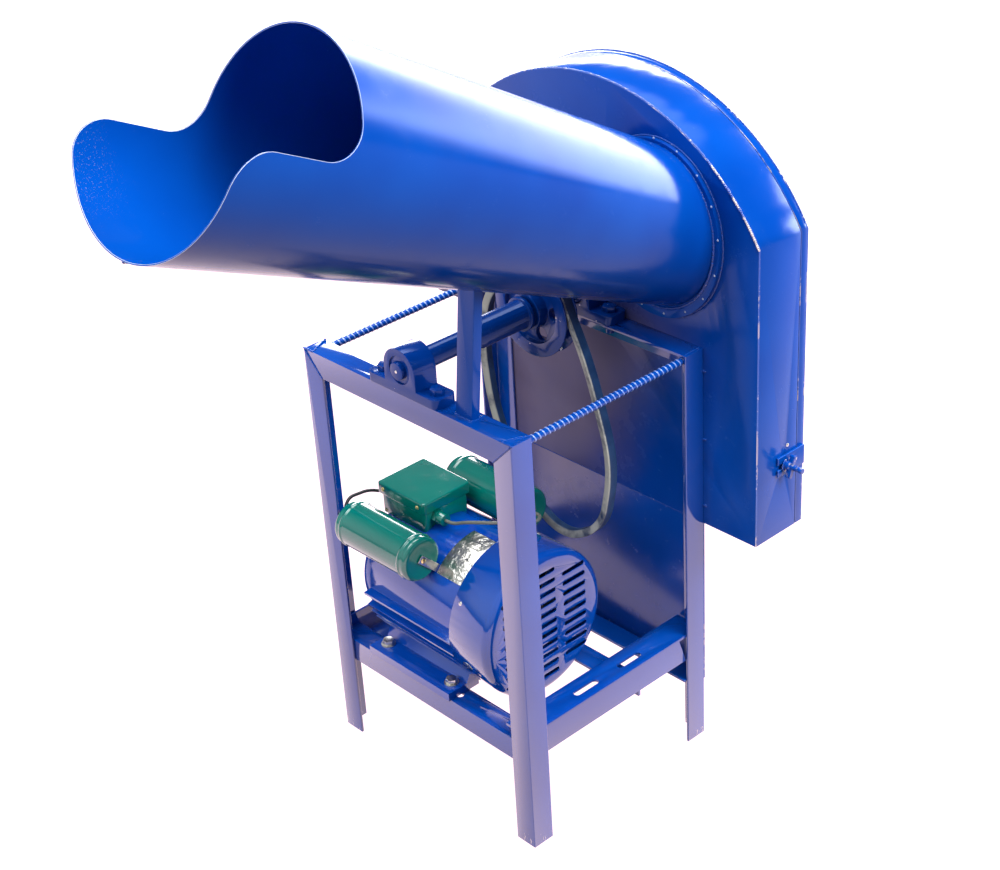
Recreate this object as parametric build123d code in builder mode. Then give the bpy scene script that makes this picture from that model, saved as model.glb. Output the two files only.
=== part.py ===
"""Electric stalk and fruit chopper: angle-iron frame, feed tube, knife disc casing, belt and motor."""
import os
from math import atan2, cos, degrees, radians, sin, sqrt, tan

from build123d import *

# ---- driving dimensions, in millimetres --------------------------------------------------------
# Frame of equal angle bars; X runs along the front, Y from the front to the casing, Z up.
frame_width = 420
frame_depth = 360
frame_height = 655
bar_leg = 36
bar_wall = 4
front_rail_height = 173
side_rail_height = 195
side_rail_leg = 45
rear_rail_height = 115
side_rail_slant = 14
tie_radius = 5
tie_drop = 10
slot_width = 11
motor_slot_length = 46
side_slot_inset = 20
side_slot_pitch = 88

# Casing, door and panel
sheet = 2
casing_depth = 84
door_gap = 1.5
door_depth = 12.5
casing_right = 516
arch_centre_x = 215
arch_centre_z = 653
arch_radius = 346
casing_bottom = 374
left_step_height = 575
tip_clearance = 16
shaft_hole_radius = 24
panel_bottom = 100

# Feed tube: a cone of rolled sheet whose upper half is cut back
tube_x = 340
tube_height = 810
tube_tilt = 26
tube_radius = 104
tube_taper = 0.051
tube_wall = 2
hood_length = 672
trough_length = 835
trough_edge_right = 11
trough_edge_left = -19
mouth_corner_radius = 46
collar_width = 11
collar_thickness = 8
prop_leg = 30
prop_side_leg = 14
prop_wall = 3
prop_foot_x = 334
prop_lean = 6.7
prop_setback = 12

# Shaft, bearings, pulley and knife disc
shaft_x = 210
journal_radius = 12.5
shaft_radius = 15
bearing_width = 38
bearing_height = 36.5
bearing_base = 140
bearing_base_thickness = 14
bearing_bolt_spacing = 105
bearing_dome_radius = 31
bearing_bore_radius = 20
running_clearance = 0.05
bolt_radius = 6
bolt_clearance = 0.5
bolt_head_height = 8
bolt_head_ratio = 1.75
sleeve_start = 128
sleeve_end = 224
sleeve_radius = 21
sleeve_ring_radius = 25
sleeve_ring_width = 6
sleeve_chamfer = 3
shaft_overhang = 6
pulley_place = 250
pulley_width = 24
pulley_radius = 70
pulley_hub_radius = 27
pulley_rim_inner_radius = 50
pulley_web = 7
pulley_hub_front = 8
pulley_hub_back = 4
groove_depth = 13
groove_top_width = 18.2
groove_bottom_width = 12
pulley_window_radius = 10.5
pulley_windows = 5
disc_radius = 270
disc_thickness = 6
disc_gap = 14
hub_radius = 40
hub_length = 30
knife_count = 3
knife_length = 196
knife_width = 55
knife_thickness = 8
knife_setback = 3
knife_bevel = 6.4
paddle_count = 4
paddle_inner_radius = 190
paddle_depth = 48
paddle_wall = 4
paddle_foot = 30
paddle_turn = 45

# Slack V-belt
belt_width = 17
belt_thickness = 11
belt_clearance = 1
belt_flank_angle = 75

# Door hinge and latch
hinge_radius = 5
hinge_pin_radius = 2.5
hinge_knuckle = 19.6
hinge_play = 0.4
hinge_leaf_thickness = 2.6
hinge_leaf_reach = 34
hinge_stand_off = 1.2
hinge_web = 3
lug_height = 30
lug_thickness = 3
lug_reach = 44
lug_side_gap = 0.8
latch_height = 485
stud_radius = 4
stud_length = 34
stud_setback = 28
washer_radius = 10
washer_thickness = 1.6
washer_gap = 1.2
nut_radius = 7
nut_length = 8
wing_span = 34
wing_thickness = 3
wing_turn = 70
wing_start = 2.8

# Motor
motor_y = 117
motor_centre_height = 112
motor_start = 18
bell_end = 72
stator_end = 262
cowl_end = 340
stator_radius = 98
stator_inner_radius = 80
core_inner_radius = 62
air_gap = 0.6
fin_reach = 112
fin_thickness = 4
fin_root = 2
cowl_radius = 113
cowl_wall = 1.6
cowl_round = 14
louvre_length = 44
louvre_height = 7
louvre_pitch = 17
louvre_columns = 3
louvre_column_pitch = 58
louvre_field = 0.86
foot_span = 190
foot_half_width = 117
foot_pitch = 140
fin_angles = (186, 198, 206, 214, 222)
foot_overhang = 18
foot_thickness = 13
foot_riser_height = 60
foot_hollow = 10
motor_shaft_radius = 14
shaft_end_radius = 12
shaft_end_length = 50
core_setback = 20
fan_hub_radius = 26
fan_blade_length = 62
fan_blades = 6
fan_blade_thickness = 3
fan_gap = 28
fan_depth = 20
motor_bolt_radius = 5
box_centre_x = 94
box_length = 96
box_width = 84
box_wall = 4
box_corner = 6
box_edge = 3
box_top = 424
lid_height = 18
lid_overhang = 4
box_play = 1
gland_radius = 9
gland_collar = 8
gland_length = 20
capacitor_radius = 34
capacitor_length = 156
capacitor_clearance = 2
capacitor_edge = 3
capacitor_front_start = 40
capacitor_rear_start = 72
capacitor_front_angle = 44
capacitor_rear_angle = 50
strap_width = 12
strap_thickness = 2
strap_overlap = 6
plate_length = 54
plate_thickness = 0.8
plate_setback = 8
lead_radius = 2.5

# ---- places worked out from the dimensions -----------------------------------------------------
casing_front = frame_depth
wrapper_front = casing_front + sheet
wrapper_back = wrapper_front + casing_depth - sheet
door_front = wrapper_back + door_gap
door_back = door_front + door_depth + sheet
shaft_height = frame_height + bearing_height
arch_left = arch_centre_x - arch_radius
kink_height = arch_centre_z + sqrt(arch_radius**2 - (casing_right - arch_centre_x) ** 2)
disc_front = wrapper_front + disc_gap
disc_back = disc_front + disc_thickness
hub_back = disc_back + hub_length
paddle_outer_radius = casing_right - sheet - shaft_x - tip_clearance
scroll_radius = paddle_outer_radius + tip_clearance
front_bearing = bearing_width / 2 - 1
rear_bearing = frame_depth - bearing_width / 2
motor_height = front_rail_height + motor_centre_height
motor_front_bolt = motor_y - foot_span / 2
motor_rear_bolt = motor_y + foot_span / 2
foot_centre = (bell_end + stator_end) / 2
hinge_x = arch_left - hinge_radius - hinge_stand_off
hinge_y = (wrapper_back + door_front) / 2
nut_start = casing_right + lug_side_gap + lug_thickness + washer_gap + washer_thickness


def tube_reach(along):
    """Outer radius of the feed tube at a distance along its axis."""
    return tube_radius + tube_taper * along


# The origin is the middle of the whole object's footprint, on the floor.
object_left = hinge_x - hinge_radius
object_right = casing_right + stud_length
object_front = casing_front - trough_length * cos(radians(tube_tilt)) - tube_reach(
    trough_length
) * sin(radians(tube_tilt))
origin_x = (object_left + object_right) / 2
origin_y = (object_front + door_back) / 2


def front(y):
    """Plane facing the front at depth y; sketch x is X, sketch y is Z, and negative extrudes go back."""
    return Plane(origin=(-origin_x, y - origin_y, 0), x_dir=(1, 0, 0), z_dir=(0, -1, 0))


def side(x):
    """Plane facing the right at x; sketch x is Y and sketch y is Z."""
    return Plane(origin=(x - origin_x, -origin_y, 0), x_dir=(0, 1, 0), z_dir=(1, 0, 0))


def top(z):
    """Level plane at height z; sketch x is X and sketch y is Y."""
    return Plane(origin=(-origin_x, -origin_y, z))


def shaft_face(y):
    """Plane facing the front at depth y, centred on the knife shaft."""
    return Plane(
        origin=(shaft_x - origin_x, y - origin_y, shaft_height), x_dir=(1, 0, 0), z_dir=(0, -1, 0)
    )


def motor_face(x):
    """Plane facing the right at x, centred on the motor's axis."""
    return Plane(
        origin=(x - origin_x, motor_y - origin_y, motor_height), x_dir=(0, 1, 0), z_dir=(1, 0, 0)
    )


# Half sections that are turned about the shaft's and the motor's axes
shaft_section = Plane(
    origin=(shaft_x - origin_x, -origin_y, shaft_height), x_dir=(0, 1, 0), z_dir=(1, 0, 0)
)
shaft_axis = Axis(shaft_section.origin, (0, 1, 0))
motor_section = Plane(
    origin=(-origin_x, motor_y - origin_y, motor_height), x_dir=(1, 0, 0), z_dir=(0, -1, 0)
)
motor_axis = Axis(motor_section.origin, (1, 0, 0))
tube_direction = Vector(0, -cos(radians(tube_tilt)), sin(radians(tube_tilt)))
tube_section = Plane(
    origin=(tube_x - origin_x, casing_front - origin_y, tube_height),
    x_dir=tube_direction,
    z_dir=(-1, 0, 0),
)
tube_axis = Axis(tube_section.origin, tube_direction)
tube_tail = -1.2 * tube_radius * tan(radians(tube_tilt))


def polygon(*points):
    """A closed face through the points, in the sketch being drawn."""
    Polygon(*points, align=None)


def turned(section, axis, points):
    """A solid of revolution whose half section goes through the points."""
    with BuildPart() as solid:
        with BuildSketch(section):
            polygon(*points)
        revolve(axis=axis)
    return solid.part


def ring(section, axis, start, end, inner, outer):
    """A plain ring or, with inner at zero, a plain cylinder about the axis."""
    return turned(section, axis, [(start, inner), (end, inner), (end, outer), (start, outer)])


def angle_section(leg_x, leg_y, wall):
    """The L of an angle bar with its corner at the sketch's origin."""
    polygon((0, 0), (leg_x, 0), (leg_x, wall), (wall, wall), (wall, leg_y), (0, leg_y))


def tube_core(shrink):
    """The feed tube's cone as a full solid, made smaller by shrink, for cutting other pieces."""
    tail = 2 * tube_tail
    far = trough_length
    return turned(
        tube_section,
        tube_axis,
        [(tail, 0), (far, 0), (far, tube_reach(far) - shrink), (tail, tube_reach(tail) - shrink)],
    )


def corner_radii(points, closed=False):
    """The largest even radius for each corner of a route: 0.45 of the shorter run beside it."""
    count = len(points)
    radii = []
    for corner in range(count) if closed else range(1, count - 1):
        here = Vector(*points[corner])
        run_in = here - Vector(*points[corner - 1])
        run_out = Vector(*points[(corner + 1) % count]) - here
        turn = radians(run_in.get_angle(run_out))
        radii.append(0.45 * min(run_in.length, run_out.length) / tan(turn / 2))
    return radii


tube_outside = tube_core(0)
tube_inside = tube_core(tube_wall)
pieces = {}

# ---- frame -------------------------------------------------------------------------------------
# Four legs of angle bar, corners outwards. The front ones are mitred to the top rail.
leg_corners = {
    "leg_front_left": (0, 0, (1, 0, 0)),
    "leg_front_right": (frame_width, 0, (0, 1, 0)),
    "leg_rear_left": (0, frame_depth, (0, -1, 0)),
    "leg_rear_right": (frame_width, frame_depth, (-1, 0, 0)),
}
for name, (corner_x, corner_y, first_leg) in leg_corners.items():
    into = 1 if corner_x == 0 else -1
    with BuildPart() as leg:
        with BuildSketch(Plane((corner_x - origin_x, corner_y - origin_y, 0), first_leg, (0, 0, 1))):
            angle_section(bar_leg, bar_leg, bar_wall)
        extrude(amount=frame_height)
        with BuildSketch(front(corner_y)):
            near = corner_x + into * bar_wall
            far = corner_x + into * bar_leg
            if corner_y == 0:
                polygon(
                    (near, frame_height),
                    (near, frame_height - bar_wall),
                    (far, frame_height - bar_leg),
                    (far, frame_height),
                )
            else:
                polygon(
                    (near, frame_height),
                    (near, frame_height - bar_wall),
                    (far, frame_height - bar_wall),
                    (far, frame_height),
                )
        extrude(amount=bar_wall, both=True, mode=Mode.SUBTRACT)
    pieces[name] = leg.part

# Front top rail: level leg on top, upright leg in front, mitred into the legs, drilled for the bearing
with BuildPart() as rail_top_front:
    with BuildSketch(top(frame_height)):
        with Locations((frame_width / 2, bar_leg / 2)):
            Rectangle(frame_width - 2 * bar_wall, bar_leg)
        with Locations((shaft_x, front_bearing)):
            with GridLocations(bearing_bolt_spacing, 0, 2, 1):
                Circle(bolt_radius + bolt_clearance, mode=Mode.SUBTRACT)
    extrude(amount=-bar_wall)
    with BuildSketch(front(0)):
        polygon(
            (bar_wall, frame_height - bar_wall),
            (frame_width - bar_wall, frame_height - bar_wall),
            (frame_width - bar_leg, frame_height - bar_leg),
            (bar_leg, frame_height - bar_leg),
        )
    extrude(amount=-bar_wall)
pieces["rail_top_front"] = rail_top_front.part

# Rear top rail: the upright leg is at the back, between the rear legs
with BuildPart() as rail_top_rear:
    with BuildSketch(top(frame_height)):
        with Locations((frame_width / 2, frame_depth - bar_leg / 2)):
            Rectangle(frame_width - 2 * bar_wall, bar_leg)
        with Locations((shaft_x, rear_bearing)):
            with GridLocations(bearing_bolt_spacing, 0, 2, 1):
                Circle(bolt_radius + bolt_clearance, mode=Mode.SUBTRACT)
    extrude(amount=-bar_wall)
    with BuildSketch(front(frame_depth)):
        with Locations((frame_width / 2, frame_height - bar_wall)):
            Rectangle(frame_width - 2 * bar_leg, bar_leg - bar_wall, align=(Align.CENTER, Align.MAX))
    extrude(amount=bar_wall)
pieces["rail_top_rear"] = rail_top_rear.part

# Front low rail, behind the front legs: it carries the motor's front feet on two slots
slot_inset = 2 * bar_wall
with BuildPart() as rail_low_front:
    with BuildSketch(top(front_rail_height)):
        with Locations((frame_width / 2, bar_wall)):
            Rectangle(
                frame_width - 2 * slot_inset, bar_leg, align=(Align.CENTER, Align.MIN)
            )
        with Locations((foot_centre, motor_front_bolt)):
            with GridLocations(foot_pitch, 0, 2, 1):
                SlotOverall(motor_slot_length, slot_width, mode=Mode.SUBTRACT)
    extrude(amount=-bar_wall)
    with BuildSketch(front(bar_wall)):
        with Locations((frame_width / 2, front_rail_height - bar_wall)):
            Rectangle(frame_width - 2 * bar_wall, bar_leg - bar_wall, align=(Align.CENTER, Align.MAX))
    extrude(amount=-bar_wall)
    with BuildSketch(front(bar_wall)):
        with Locations((frame_width / 2, front_rail_height)):
            Rectangle(frame_width - 2 * bar_wall, bar_wall, align=(Align.CENTER, Align.MAX))
    extrude(amount=-bar_wall)
pieces["rail_low_front"] = rail_low_front.part

# Left low rail: upright leg outside, level leg at the bottom
with BuildPart() as rail_low_left:
    with BuildSketch(
        Plane(
            (bar_wall - origin_x, slot_inset - origin_y, side_rail_height - side_rail_leg),
            x_dir=(0, 0, 1),
            z_dir=(0, 1, 0),
        )
    ):
        angle_section(side_rail_leg, side_rail_leg, bar_wall)
    extrude(amount=frame_depth - bar_wall - slot_inset)
pieces["rail_low_left"] = rail_low_left.part

# Right low rail: level leg on top with two slots, upright leg outside with its rear end cut slanting
with BuildPart() as rail_low_right:
    with BuildSketch(top(side_rail_height)):
        with Locations((frame_width - bar_wall, bar_wall)):
            Rectangle(
                side_rail_leg, frame_depth - 2 * bar_wall, align=(Align.MAX, Align.MIN)
            )
        with Locations((frame_width - bar_wall - side_slot_inset, frame_depth / 2)):
            with GridLocations(0, side_slot_pitch, 1, 2):
                SlotOverall(motor_slot_length, slot_width, rotation=90, mode=Mode.SUBTRACT)
    extrude(amount=-bar_wall)
    with BuildSketch(side(frame_width - bar_wall)):
        rail_foot = side_rail_height - side_rail_leg
        rail_under = side_rail_height - bar_wall
        rail_back = frame_depth - bar_leg
        polygon(
            (slot_inset, rail_under),
            (slot_inset, rail_foot),
            (rail_back, rail_foot),
            (rail_back - side_rail_slant, rail_under),
        )
    extrude(amount=-bar_wall)
pieces["rail_low_right"] = rail_low_right.part

# Rear low rail, in front of the rear legs' back leg, under the deflector panel's lower edge
with BuildPart() as rail_low_rear:
    with BuildSketch(side(bar_wall)):
        rail_back = frame_depth - bar_wall
        polygon(
            (rail_back, rear_rail_height),
            (rail_back - bar_leg, rear_rail_height),
            (rail_back - bar_leg, rear_rail_height - bar_wall),
            (rail_back - bar_wall, rear_rail_height - bar_wall),
            (rail_back - bar_wall, rear_rail_height - bar_leg),
            (rail_back, rear_rail_height - bar_leg),
        )
    extrude(amount=frame_width - 2 * bar_wall)
pieces["rail_low_rear"] = rail_low_rear.part

# Cross bar for the motor's rear feet, between the side rails
with BuildPart() as motor_cross_bar:
    with BuildSketch(top(front_rail_height)):
        with Locations((slot_inset, motor_rear_bolt)):
            Rectangle(frame_width - 2 * slot_inset, bar_leg, align=(Align.MIN, Align.CENTER))
        with Locations((foot_centre, motor_rear_bolt)):
            with GridLocations(foot_pitch, 0, 2, 1):
                SlotOverall(motor_slot_length, slot_width, mode=Mode.SUBTRACT)
    extrude(amount=-bar_wall)
    with BuildSketch(front(motor_rear_bolt + bar_leg / 2)):
        bar_left = bar_wall + side_rail_leg + bar_wall
        with Locations((bar_left, front_rail_height - bar_wall)):
            Rectangle(
                frame_width - slot_inset - bar_left,
                bar_leg - bar_wall,
                align=(Align.MIN, Align.MAX),
            )
    extrude(amount=bar_wall)
pieces["motor_cross_bar"] = motor_cross_bar.part

# Two ribbed tie rods under the top corners, from front leg to rear leg
tie_height = frame_height - tie_drop
for name, tie_x in {
    "tie_rod_left": bar_wall + tie_radius,
    "tie_rod_right": frame_width - bar_wall - tie_radius,
}.items():
    with BuildPart() as tie_rod:
        with BuildSketch(front(bar_wall)):
            with Locations((tie_x, tie_height)):
                Circle(tie_radius)
        extrude(amount=-(frame_depth - 2 * bar_wall))
    pieces[name] = tie_rod.part

# ---- casing, panel and door --------------------------------------------------------------------
# The outline is an arch whose right side runs straight down. On the left the arch ends in a step,
# and a lower arc follows the knife disc down to the frame.
step_x = shaft_x - sqrt(scroll_radius**2 - (shaft_height - left_step_height) ** 2)
scroll_foot = shaft_height - sqrt(scroll_radius**2 - shaft_x**2)
step_angle = atan2(left_step_height - shaft_height, step_x - shaft_x)
foot_angle = atan2(scroll_foot - shaft_height, -shaft_x)
middle_angle = (step_angle + foot_angle) / 2
scroll_middle = (
    shaft_x + scroll_radius * cos(middle_angle),
    shaft_height + scroll_radius * sin(middle_angle),
)
with BuildSketch() as casing_outline:
    with BuildLine():
        Polyline((0, scroll_foot), (0, casing_bottom), (casing_right, casing_bottom), (casing_right, kink_height))
        ThreePointArc(
            (casing_right, kink_height),
            (arch_centre_x, arch_centre_z + arch_radius),
            (arch_left, arch_centre_z),
        )
        Polyline((arch_left, arch_centre_z), (arch_left, left_step_height), (step_x, left_step_height))
        ThreePointArc((step_x, left_step_height), scroll_middle, (0, scroll_foot))
    make_face()

with BuildPart() as casing_front_plate:
    with BuildSketch(front(casing_front)):
        add(casing_outline.sketch)
        with Locations((shaft_x, shaft_height)):
            Circle(shaft_hole_radius, mode=Mode.SUBTRACT)
    extrude(amount=-sheet)
    add(tube_inside, mode=Mode.SUBTRACT)
pieces["casing_front_plate"] = casing_front_plate.part

# The wrapper is the casing's rim, open underneath where the chopped stalks fall out
with BuildPart() as casing_wrapper:
    with BuildSketch(front(wrapper_front)):
        add(casing_outline.sketch)
        offset(amount=-sheet, mode=Mode.SUBTRACT)
        with Locations((sheet, casing_bottom)):
            Rectangle(
                casing_right - 2 * sheet, sheet, align=(Align.MIN, Align.MIN), mode=Mode.SUBTRACT
            )
    extrude(amount=-(wrapper_back - wrapper_front))
    with BuildSketch(side(casing_right)):
        with Locations((wrapper_back - stud_setback + door_gap, latch_height)):
            Circle(stud_radius)
    extrude(amount=-sheet, mode=Mode.SUBTRACT)
pieces["casing_wrapper"] = casing_wrapper.part

with BuildPart() as deflector_panel:
    with BuildSketch(front(casing_front)):
        with Locations((frame_width / 2, panel_bottom)):
            Rectangle(frame_width, casing_bottom - panel_bottom, align=(Align.CENTER, Align.MIN))
    extrude(amount=-sheet)
pieces["deflector_panel"] = deflector_panel.part

with BuildPart() as door_rim:
    with BuildSketch(front(door_front)):
        add(casing_outline.sketch)
        offset(amount=-sheet, mode=Mode.SUBTRACT)
    extrude(amount=-door_depth)
pieces["door_rim"] = door_rim.part

with BuildPart() as door_skin:
    with BuildSketch(front(door_front + door_depth)):
        add(casing_outline.sketch)
    extrude(amount=-sheet)
pieces["door_skin"] = door_skin.part

# Door hinge: two knuckles and the pin on the casing, one knuckle on the door between them
hinge_middle = (left_step_height + arch_centre_z) / 2
hinge_pitch = hinge_knuckle + hinge_play
leaf_x = arch_left - hinge_leaf_thickness
hinge_span = 3 * hinge_knuckle + 2 * hinge_play
with BuildPart() as hinge_fixed:
    with BuildSketch(top(hinge_middle - hinge_span / 2)) as hinge_section:
        with Locations((hinge_x, hinge_y)):
            Circle(hinge_radius)
        with Locations((arch_left, hinge_y - hinge_leaf_reach)):
            Rectangle(
                hinge_leaf_thickness, hinge_leaf_reach, align=(Align.MAX, Align.MIN)
            )
        with Locations((leaf_x, hinge_y - hinge_radius)):
            Rectangle(hinge_radius, hinge_web, align=(Align.MAX, Align.MIN))
    extrude(amount=hinge_span)
    with BuildSketch(top(hinge_middle - hinge_knuckle / 2 - hinge_play)):
        with Locations((hinge_x, hinge_y)):
            Circle(hinge_radius + hinge_play)
        with Locations((arch_left + 1, hinge_y)):
            Rectangle(
                3 * hinge_radius, 2 * hinge_radius + 2 * hinge_play, align=(Align.MAX, Align.CENTER)
            )
    extrude(amount=hinge_knuckle + 2 * hinge_play, mode=Mode.SUBTRACT)
    with BuildSketch(top(hinge_middle - hinge_span / 2)):
        with Locations((hinge_x, hinge_y)):
            Circle(hinge_pin_radius)
    extrude(amount=hinge_span)
pieces["hinge_fixed"] = hinge_fixed.part

with BuildPart() as hinge_door:
    with BuildSketch(top(hinge_middle - hinge_knuckle / 2)):
        with Locations((hinge_x, hinge_y)):
            Circle(hinge_radius)
        with Locations((arch_left, door_front + 1)):
            Rectangle(
                hinge_leaf_thickness, door_depth, align=(Align.MAX, Align.MIN)
            )
        with Locations((arch_left, hinge_y + hinge_radius)):
            Rectangle(hinge_radius + hinge_stand_off, hinge_web, align=(Align.MAX, Align.MAX))
        with Locations((hinge_x, hinge_y)):
            Circle(hinge_pin_radius + running_clearance, mode=Mode.SUBTRACT)
    extrude(amount=hinge_knuckle)
pieces["hinge_door"] = hinge_door.part

# Latch: an open fork on the door hooks over a stud on the casing, and a wing nut closes it
stud_y = wrapper_back - stud_setback + door_gap
fork_front = door_front - lug_reach
with BuildPart() as latch_fork:
    with BuildSketch(side(casing_right + lug_side_gap)):
        with Locations((fork_front, latch_height)):
            Rectangle(
                lug_reach + door_depth, lug_height, align=(Align.MIN, Align.CENTER)
            )
        with Locations((fork_front - stud_radius, latch_height)):
            SlotOverall(
                2 * (stud_y - fork_front + 2 * stud_radius),
                2 * (stud_radius + bolt_clearance),
                mode=Mode.SUBTRACT,
            )
    extrude(amount=lug_thickness)
    with BuildSketch(side(casing_right)):
        with Locations((door_front + door_depth, latch_height)):
            Rectangle(door_depth - 1, lug_height, align=(Align.MAX, Align.CENTER))
    extrude(amount=lug_side_gap)
pieces["latch_fork"] = latch_fork.part

with BuildPart() as latch_stud:
    with BuildSketch(side(casing_right - sheet)):
        with Locations((stud_y, latch_height)):
            Circle(stud_radius)
    extrude(amount=stud_length + sheet)
pieces["latch_stud"] = latch_stud.part

with BuildPart() as latch_washer:
    with BuildSketch(side(nut_start - washer_thickness)):
        with Locations((stud_y, latch_height)):
            Circle(washer_radius)
            Circle(stud_radius + running_clearance, mode=Mode.SUBTRACT)
    extrude(amount=washer_thickness)
pieces["latch_washer"] = latch_washer.part

with BuildPart() as latch_nut:
    with BuildSketch(side(nut_start)):
        with Locations((stud_y, latch_height)):
            Circle(nut_radius)
    extrude(amount=nut_length)
    with BuildSketch(side(nut_start + wing_start)):
        with Locations((stud_y, latch_height)):
            SlotOverall(wing_span, 2 * wing_thickness, rotation=wing_turn)
    extrude(amount=nut_length)
    with BuildSketch(side(nut_start)):
        with Locations((stud_y, latch_height)):
            Circle(stud_radius + running_clearance)
    extrude(amount=2 * nut_length, mode=Mode.SUBTRACT)
pieces["latch_nut"] = latch_nut.part

# ---- feed tube ---------------------------------------------------------------------------------
# The mouth: the upper half stops at the hood's length, the trough goes on below its rounded edges
with BuildPart() as feed_tube:
    far = trough_length
    with BuildSketch(tube_section):
        polygon(
            (tube_tail, tube_reach(tube_tail)),
            (far, tube_reach(far)),
            (far, tube_reach(far) - tube_wall),
            (tube_tail, tube_reach(tube_tail) - tube_wall),
        )
    revolve(axis=tube_axis)
    for trough_edge, way in ((trough_edge_right, -1), (trough_edge_left, 1)):
        with BuildSketch(tube_section):
            with BuildLine():
                FilletPolyline(
                    (hood_length, 2 * tube_radius),
                    (hood_length, trough_edge),
                    (trough_length - 1, trough_edge),
                    (trough_length - 1, -2 * tube_radius),
                    (trough_length + tube_radius, -2 * tube_radius),
                    (trough_length + tube_radius, 2 * tube_radius),
                    radius=mouth_corner_radius,
                    close=True,
                )
            make_face()
        extrude(amount=2 * tube_radius * way, mode=Mode.SUBTRACT)
    with BuildSketch(front(casing_front)):
        with Locations((tube_x, tube_height)):
            Rectangle(4 * tube_radius, 6 * tube_radius)
    extrude(amount=-2 * tube_radius, mode=Mode.SUBTRACT)
pieces["feed_tube"] = feed_tube.part

with BuildPart() as tube_collar:
    with BuildSketch(front(casing_front)):
        with Locations((tube_x, tube_height)):
            Ellipse(tube_radius + collar_width, (tube_radius + collar_width) / cos(radians(tube_tilt)))
    extrude(amount=collar_thickness)
    add(tube_outside, mode=Mode.SUBTRACT)
pieces["tube_collar"] = tube_collar.part

# Prop from the front top rail to the tube's underside, leaning a little to the right
lean = radians(prop_lean)
with BuildPart() as tube_prop:
    with BuildSketch(
        Plane(
            (prop_foot_x - origin_x, prop_setback - origin_y, frame_height),
            x_dir=(0, 1, 0),
            z_dir=(sin(lean), 0, cos(lean)),
        )
    ):
        angle_section(prop_side_leg, prop_leg, prop_wall)
    extrude(amount=tube_height - frame_height + tube_radius)
    extrude(
        tube_prop.faces().filter_by(GeomType.PLANE).sort_by(Axis.Z)[0], amount=prop_leg
    )
    with BuildSketch(top(frame_height)):
        with Locations((prop_foot_x, prop_setback)):
            Rectangle(4 * prop_leg, 4 * prop_leg)
    extrude(amount=-3 * prop_leg, mode=Mode.SUBTRACT)
    add(tube_outside, mode=Mode.SUBTRACT)
pieces["tube_prop"] = tube_prop.part

# ---- shaft, bearings and knife disc ------------------------------------------------------------
# Pillow blocks with a foot, a domed housing and a bore that is open to the insert
for name, place in {"bearing_block_front": front_bearing, "bearing_block_rear": rear_bearing}.items():
    with BuildPart() as bearing_block:
        with BuildSketch(top(frame_height)):
            with Locations((shaft_x, place)):
                RectangleRounded(bearing_base, bearing_width, bearing_width / 4)
                with GridLocations(bearing_bolt_spacing, 0, 2, 1):
                    Circle(bolt_radius + bolt_clearance, mode=Mode.SUBTRACT)
        extrude(amount=bearing_base_thickness)
        with BuildSketch(front(place - bearing_width / 2)):
            with Locations((shaft_x, shaft_height)):
                Circle(bearing_dome_radius)
            with Locations((shaft_x, frame_height)):
                Rectangle(
                    2 * bearing_dome_radius, bearing_height, align=(Align.CENTER, Align.MIN)
                )
        extrude(amount=-bearing_width)
        with BuildSketch(front(place - bearing_width / 2)):
            with Locations((shaft_x, shaft_height)):
                Circle(bearing_bore_radius)
        extrude(amount=-bearing_width, mode=Mode.SUBTRACT)
    pieces[name] = bearing_block.part

# Inserts on the shaft, turning in the blocks
for name, place in {"bearing_insert_front": front_bearing, "bearing_insert_rear": rear_bearing}.items():
    pieces[name] = ring(
        shaft_section,
        shaft_axis,
        place - bearing_width / 2 + 2,
        place + bearing_width / 2 - 2,
        journal_radius,
        bearing_bore_radius - running_clearance,
    )

# Bearing bolts with hexagon heads above the foot and nuts under the rail
bolt_places = [
    (shaft_x + bolt_side * bearing_bolt_spacing / 2, place)
    for place in (front_bearing, rear_bearing)
    for bolt_side in (-1, 1)
]
with BuildPart() as bearing_bolts:
    with BuildSketch(top(frame_height + bearing_base_thickness)):
        with Locations(*bolt_places):
            RegularPolygon(bolt_head_ratio * bolt_radius, 6)
    extrude(amount=bolt_head_height)
    with BuildSketch(top(frame_height + bearing_base_thickness)):
        with Locations(*bolt_places):
            Circle(bolt_radius)
    extrude(amount=-(bearing_base_thickness + bar_wall + 2 * bolt_head_height))
    with BuildSketch(top(frame_height - bar_wall)):
        with Locations(*bolt_places):
            RegularPolygon(bolt_head_ratio * bolt_radius, 6)
    extrude(amount=-bolt_head_height)
pieces["bearing_bolts"] = bearing_bolts.part

pieces["rotor_shaft"] = turned(
    shaft_section,
    shaft_axis,
    [
        (-shaft_overhang, 0),
        (-shaft_overhang, journal_radius),
        (bearing_width, journal_radius),
        (bearing_width, shaft_radius),
        (frame_depth - bearing_width - 1, shaft_radius),
        (frame_depth - bearing_width - 1, journal_radius),
        (hub_back, journal_radius),
        (hub_back, 0),
    ],
)

pieces["shaft_sleeve"] = turned(
    shaft_section,
    shaft_axis,
    [
        (sleeve_start, shaft_radius),
        (sleeve_start, sleeve_radius - sleeve_chamfer),
        (sleeve_start + 12, sleeve_radius),
        (sleeve_end - sleeve_ring_width, sleeve_radius),
        (sleeve_end - sleeve_ring_width, sleeve_ring_radius),
        (sleeve_end, sleeve_ring_radius),
        (sleeve_end, shaft_radius),
    ],
)

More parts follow.
